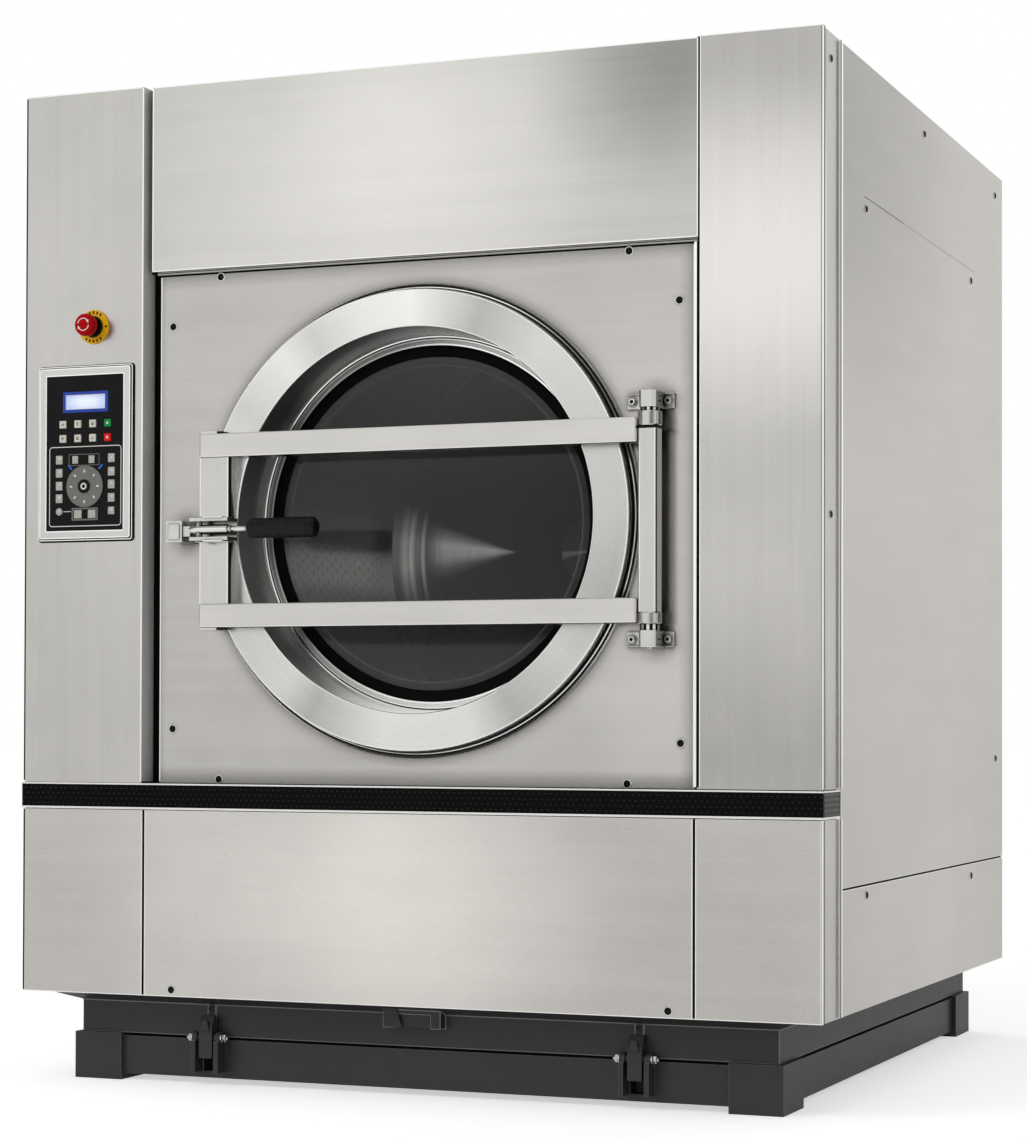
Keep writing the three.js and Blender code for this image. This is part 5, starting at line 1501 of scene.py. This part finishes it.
def makeFieldKeys():
    front, left, right, end = keypad["film"], field["left"], field["right"], field["end"]
    small = [softKey(left, z, 14, 16) for z in field["leftRows"]]
    small += [softKey(right, z, 14, 16) for z in field["rightRows"]]
    small.append(softKey(right, end, 13, 14))
    settle(merged(small), "lowerFieldKeys", "cabinet", "keyGrey", "dial_grey")
    profile = [(0, front - 2.6), (4, front - 2.4), (6.6, front - 1.2), (7, front + 0.4), (0, front + 0.4)]
    knob = spun(profile, at(left, 0, end), 32)
    settle(knob, "lowerFieldRoundKey", "cabinet", "keyGrey", "dial_grey")
    profile = [(0, front - 2.75), (1.5, front - 2.6), (2.6, front - 1.6), (0, front - 1.6)]
    spots = [(x, z) for x in (left, right) for z in field["lampRows"] + (end,)]
    lights = [spun(profile, at(x + 1.5, 0, z + 2), 16) for x, z in spots]
    settle(merged(lights), "lowerFieldLamps", "cabinet", "printWhite", "key_ivory")


# x and z from and to, height over the film, and the windows' edge
fieldWindows = [(-660, -597, 1118.5, 1139, 0.9, 1.6), (-652.5, -600.5, 1019.5, 1040, 1.2, 0.9)]
fieldTabs = [(-653, -641, 1122, 1136, 1.7), (-619, -607, 1122, 1136, 1.7),
             (-649, -633, 1022, 1037.5, 2.0), (-620, -604, 1022, 1037.5, 2.0)]


def makeFieldWindows():
    # the window at the top and the block at the bottom, each with a rim and two tabs
    front = keypad["film"]
    windows = [roundedBox(x0, x1, front - high, front + 0.4, z0, z1, soft=edge)
               for x0, x1, z0, z1, high, edge in fieldWindows]
    settle(merged(windows), "lowerFieldWindows", "cabinet", "softBlack", "keypad_black")
    rims = [roundedFrame(-628.5, 1128.7, 64, 21, 1.1, front - 1.5, front - 0.5, 2.4),
            roundedFrame(-626.5, 1029.7, 54, 23, 2.6, front - 1.8, front - 0.5, 1.2)]
    settle(merged(rims), "lowerFieldRims", "cabinet", "dialGrey", "dial_grey")
    tabs = [(x0, x1, front - high, front - 0.4, z0, z1) for x0, x1, z0, z1, high in fieldTabs]
    settleBoxes(tabs, "lowerFieldTabs", "cabinet", "keyGrey", "dial_grey", 0.8, 2)


def makeFieldPrint():
    # a stroke and the dial's two ticks
    front, x, end = keypad["film"], field["x"], field["end"]
    stroke = roundedBox(-672, -656, front - 0.3, front + 0.3, end - 0.6, end + 0.6, soft=0.2, segments=1)
    settle(stroke, "lowerFieldStroke", "cabinet", "printWhite", "keypad_black")
    tick = roundedBox(x - 1.5, x + 1.5, front - 0.35, front + 0.3, 1122, 1133, soft=0.3, segments=1)
    ticks = turnedRow(tick, (-42, 42), at(dial["x"], 0, dial["z"]))
    settle(merged(ticks), "dialTicks", "cabinet", "printBlue", "display_face")


dial = {"x": -626.5, "z": 1080, "radius": 38, "hub": 12.6, "rear": -4.6, "front": -8.1}


def makeDial():
    place = at(dial["x"], 0, dial["z"])
    radius, rear, front, hub = dial["radius"], dial["rear"], dial["front"], dial["hub"]
    profile = [(0, rear), (radius - 0.8, rear), (radius, rear - 0.8), (radius, front + 1.2),
               (radius - 0.8, front + 0.3), (radius - 2, front), (radius - 4, front + 0.5), (16, front + 0.6),
               (14.5, front), (13.4, front - 0.6), (0, front - 0.6)]
    plate = spun(profile, place, 72)
    settle(plate, "dialPlate", "program_dial", "dialGrey", "dial_grey", "dial")
    profile = [(0, front), (hub, front), (hub, front - 1.6), (hub - 1.2, front - 2.2), (0, front - 2.2)]
    settle(spun(profile, place, 48), "dialHub", "program_dial", "softBlack", "stop_stem_black")
    profile = [(3.4, front - 2.0), (3.4, front - 2.6), (6.2, front - 2.6), (6.2, front - 2.0)]
    loop = spun(profile, place, 36)
    mark = roundedBox(dial["x"] - 1.5, dial["x"] + 1.5, front - 0.1, front + 0.8, dial["z"] + 25,
                      dial["z"] + 30.5, soft=0.4, segments=2)
    marks = [loop] + turnedRow(mark, range(0, 360, 45), place)
    settle(merged(marks), "dialMarks", "program_dial", "printWhite", "key_ivory")


makeBezel()
makeDisplay()
makeKeyMarks()
makeFieldOutline()
makeFieldKeys()
makeFieldWindows()
makeFieldPrint()
makeDial()
print("keypad made")


# ---- base ----

clamps = {"left_hook": -397, "right_hook": 418}
boltPlace = {"out": 31.5, "y": 46, "z": 85}

# washer, nut and tip: radius, depth, way out in metres, sides, edge
boltParts = [(9.5, 2.4, -0.0022, 32, 0.4), (7.6, 7, 0.0022, 6, 0.8), (4, 5, 0.0066, 24, 0.8)]


def makeClampBolt(body, x):
    heads = []
    for side in (-1, 1):
        centre = at(x + side * boltPlace["out"], boltPlace["y"], boltPlace["z"])
        for radius, depth, out, sides, edge in boltParts:
            disc = startDisc(radius, depth, centre + Vector((side * out, 0, 0)), "X", sides)
            heads.append(softened(disc, edge, 2))
    settle(merged(heads), body + "Bolt", body, "trimSteel", "polished_steel", angle=25)


clampTongue = {"half": 9, "front": 31.6, "rear": 36, "low": 97, "high": 118, "taper": 0.55}


def makeClampTongue(body, x):
    half, front, rear = clampTongue["half"], clampTongue["front"], clampTongue["rear"]
    tongue = startBox(x - half, x + half, front, rear, clampTongue["low"], clampTongue["high"])
    edit(tongue)
    pick(tongue, "FACE", lambda f: f.normal.z > 0.9)
    bpy.ops.transform.resize(value=(clampTongue["taper"], 1, 1))
    leave()
    settle(softened(tongue, 1.4), body + "Tongue", body, "basePaint", "base_paint")


strapScrew = {"y": 58.8, "z": 136, "radius": 4.6, "height": 4.4, "washer": 6.4}


def makeStrapScrews():
    screws = [socketScrew(x, look="basePaint", **strapScrew) for x in clamps.values()]
    settle(merged(screws), "strapScrews", "cabinet", None, "base_paint")


# boxes, and how far the tongue's foot leans to the right in metres
bracket = {"plate": (-31, 41, 45, 49, 120, 158), "tongue": (-51, -24, 37, 41, 121, 158), "lean": 0.012}


def makeBracketPlate():
    # front plate of the middle bracket, with the leaning tongue at its left
    plate = roundedBox(*bracket["plate"], soft=1.2)
    tongue = startBox(*bracket["tongue"])
    edit(tongue)
    pick(tongue, "VERT", lambda v: v.co.z < at(0, 0, 130).z)
    bpy.ops.transform.translate(value=(bracket["lean"], 0, 0))
    leave()
    settle(merged([plate, softened(tongue, 1.4)]), "bracketPlate", "cabinet", "basePaint", "base_paint")


for body, x in clamps.items():
    makeClampBolt(body, x)
    makeClampTongue(body, x)
makeStrapScrews()
makeBracketPlate()
print("base made")


# ---- studio ----

# strips of the sky that metal mirrors: angle round the machine from the right, width in degrees, brightness
# ceiling: the same by height, with its reach
studio = {"sky": 0.95, "floor": 0.80, "ceiling": (0.62, 0.20, 0.30),
          "strips": [(34, 34, 0.12), (112, 34, 0.30), (196, 40, 0.10), (304, 60, 0.22), (352, 16, 0.30)]}

# place, target, size in metres, power in watts
lamps = {
    "keyPanel": {"place": (-3.0, -4.6, 4.6), "target": (0, -0.5, 0.9), "size": (2.6, 2.6), "power": 70},
    "sidePanel": {"place": (5.2, 0.6, 3.6), "target": (0.7, 0.2, 0.9), "size": (2.4, 2.4), "power": 8},
    "lowPanel": {"place": (0.4, -6.0, 1.0), "target": (0, -0.7, 0.6), "size": (3.0, 0.8), "power": 12},
}


def whiteRays(finish):
    # 1 for the camera's rays, then 1 for those and for mirrored and see-through rays
    kinds = [finish.add("LightPath", {}, {}, name) for name in
             ("Is Camera Ray", "Is Glossy Ray", "Is Transmission Ray")]
    seen = finish.maths("MAXIMUM", kinds[0], kinds[1])
    return kinds[0], finish.maths("MAXIMUM", seen, kinds[2])


def stageFinish():
    # pale floor that shows white, and keeps the shadow
    finish = Finish("stageFloor", Roughness=0.9, Specular_IOR_Level=0.0)
    camera, seen = whiteRays(finish)
    glow = finish.mix(seen, grey(0), grey(0.22))
    finish.set(Base_Color=grey(studio["floor"]),
               Emission_Color=finish.mix(camera, glow, grey(0.55)), Emission_Strength=1.0)
    return finish.material


class Sky(Finish):
    # the world's own nodes, made with the same helpers
    def __init__(self, world):
        world.use_nodes = True
        self.tree = world.node_tree
        self.shader = self.tree.nodes["Background"]


def addSky():
    world = bpy.data.worlds.new("studioSky")
    bpy.context.scene.world = world
    sky = Sky(world)
    camera = sky.add("LightPath", {}, {}, "Is Camera Ray")
    x, y, z = sky.parts(sky.add("TexCoord", {}, {}, "Generated"))
    turn = sky.maths("ARCTAN2", y, x) * (180 / pi)
    turn = sky.maths("WRAP", turn, 360.0, 0.0)
    light = z * 0.12 + studio["sky"]
    for middle, width, kept in studio["strips"]:
        away = sky.maths("ABSOLUTE", turn - middle) * (2 / width)
        strip = sky.maths("MAXIMUM", 1 - away ** 2, 0.0)
        light = light * (1 - strip * (1 - kept))
    middle, reach, kept = studio["ceiling"]
    away = sky.maths("ABSOLUTE", z - middle) * (1 / reach)
    light = light * (1 - sky.maths("MAXIMUM", 1 - away ** 2, 0.0) * (1 - kept))
    mirrored = sky.add("CombineColor", {}, {"Red": light, "Green": light, "Blue": light * 0.99})
    sky.set(Color=sky.mix(camera, mirrored, grey(1)), Strength=1.0)


def addFloor():
    clear()
    bpy.ops.mesh.primitive_plane_add(size=120, location=(0, 0, 0))
    floor = bpy.context.object
    floor.name = "studioFloor"
    floor.data.materials.append(stageFinish())


def addLamp(name, lamp):
    data = bpy.data.lights.new(name, "AREA")
    data.shape = "RECTANGLE"
    data.size, data.size_y = lamp["size"]
    data.energy = lamp["power"]
    data.color = (1.0, 0.99, 0.975)
    light = bpy.data.objects.new(name, data)
    bpy.context.scene.collection.objects.link(light)
    light.location = lamp["place"]
    way = Vector(lamp["target"]) - Vector(lamp["place"])
    light.rotation_euler = way.to_track_quat("-Z", "Y").to_euler()
    light.visible_glossy = False


addFloor()
addSky()
for name, lamp in lamps.items():
    addLamp(name, lamp)
bpy.context.scene.view_settings.view_transform = "Standard"
print("studio made")
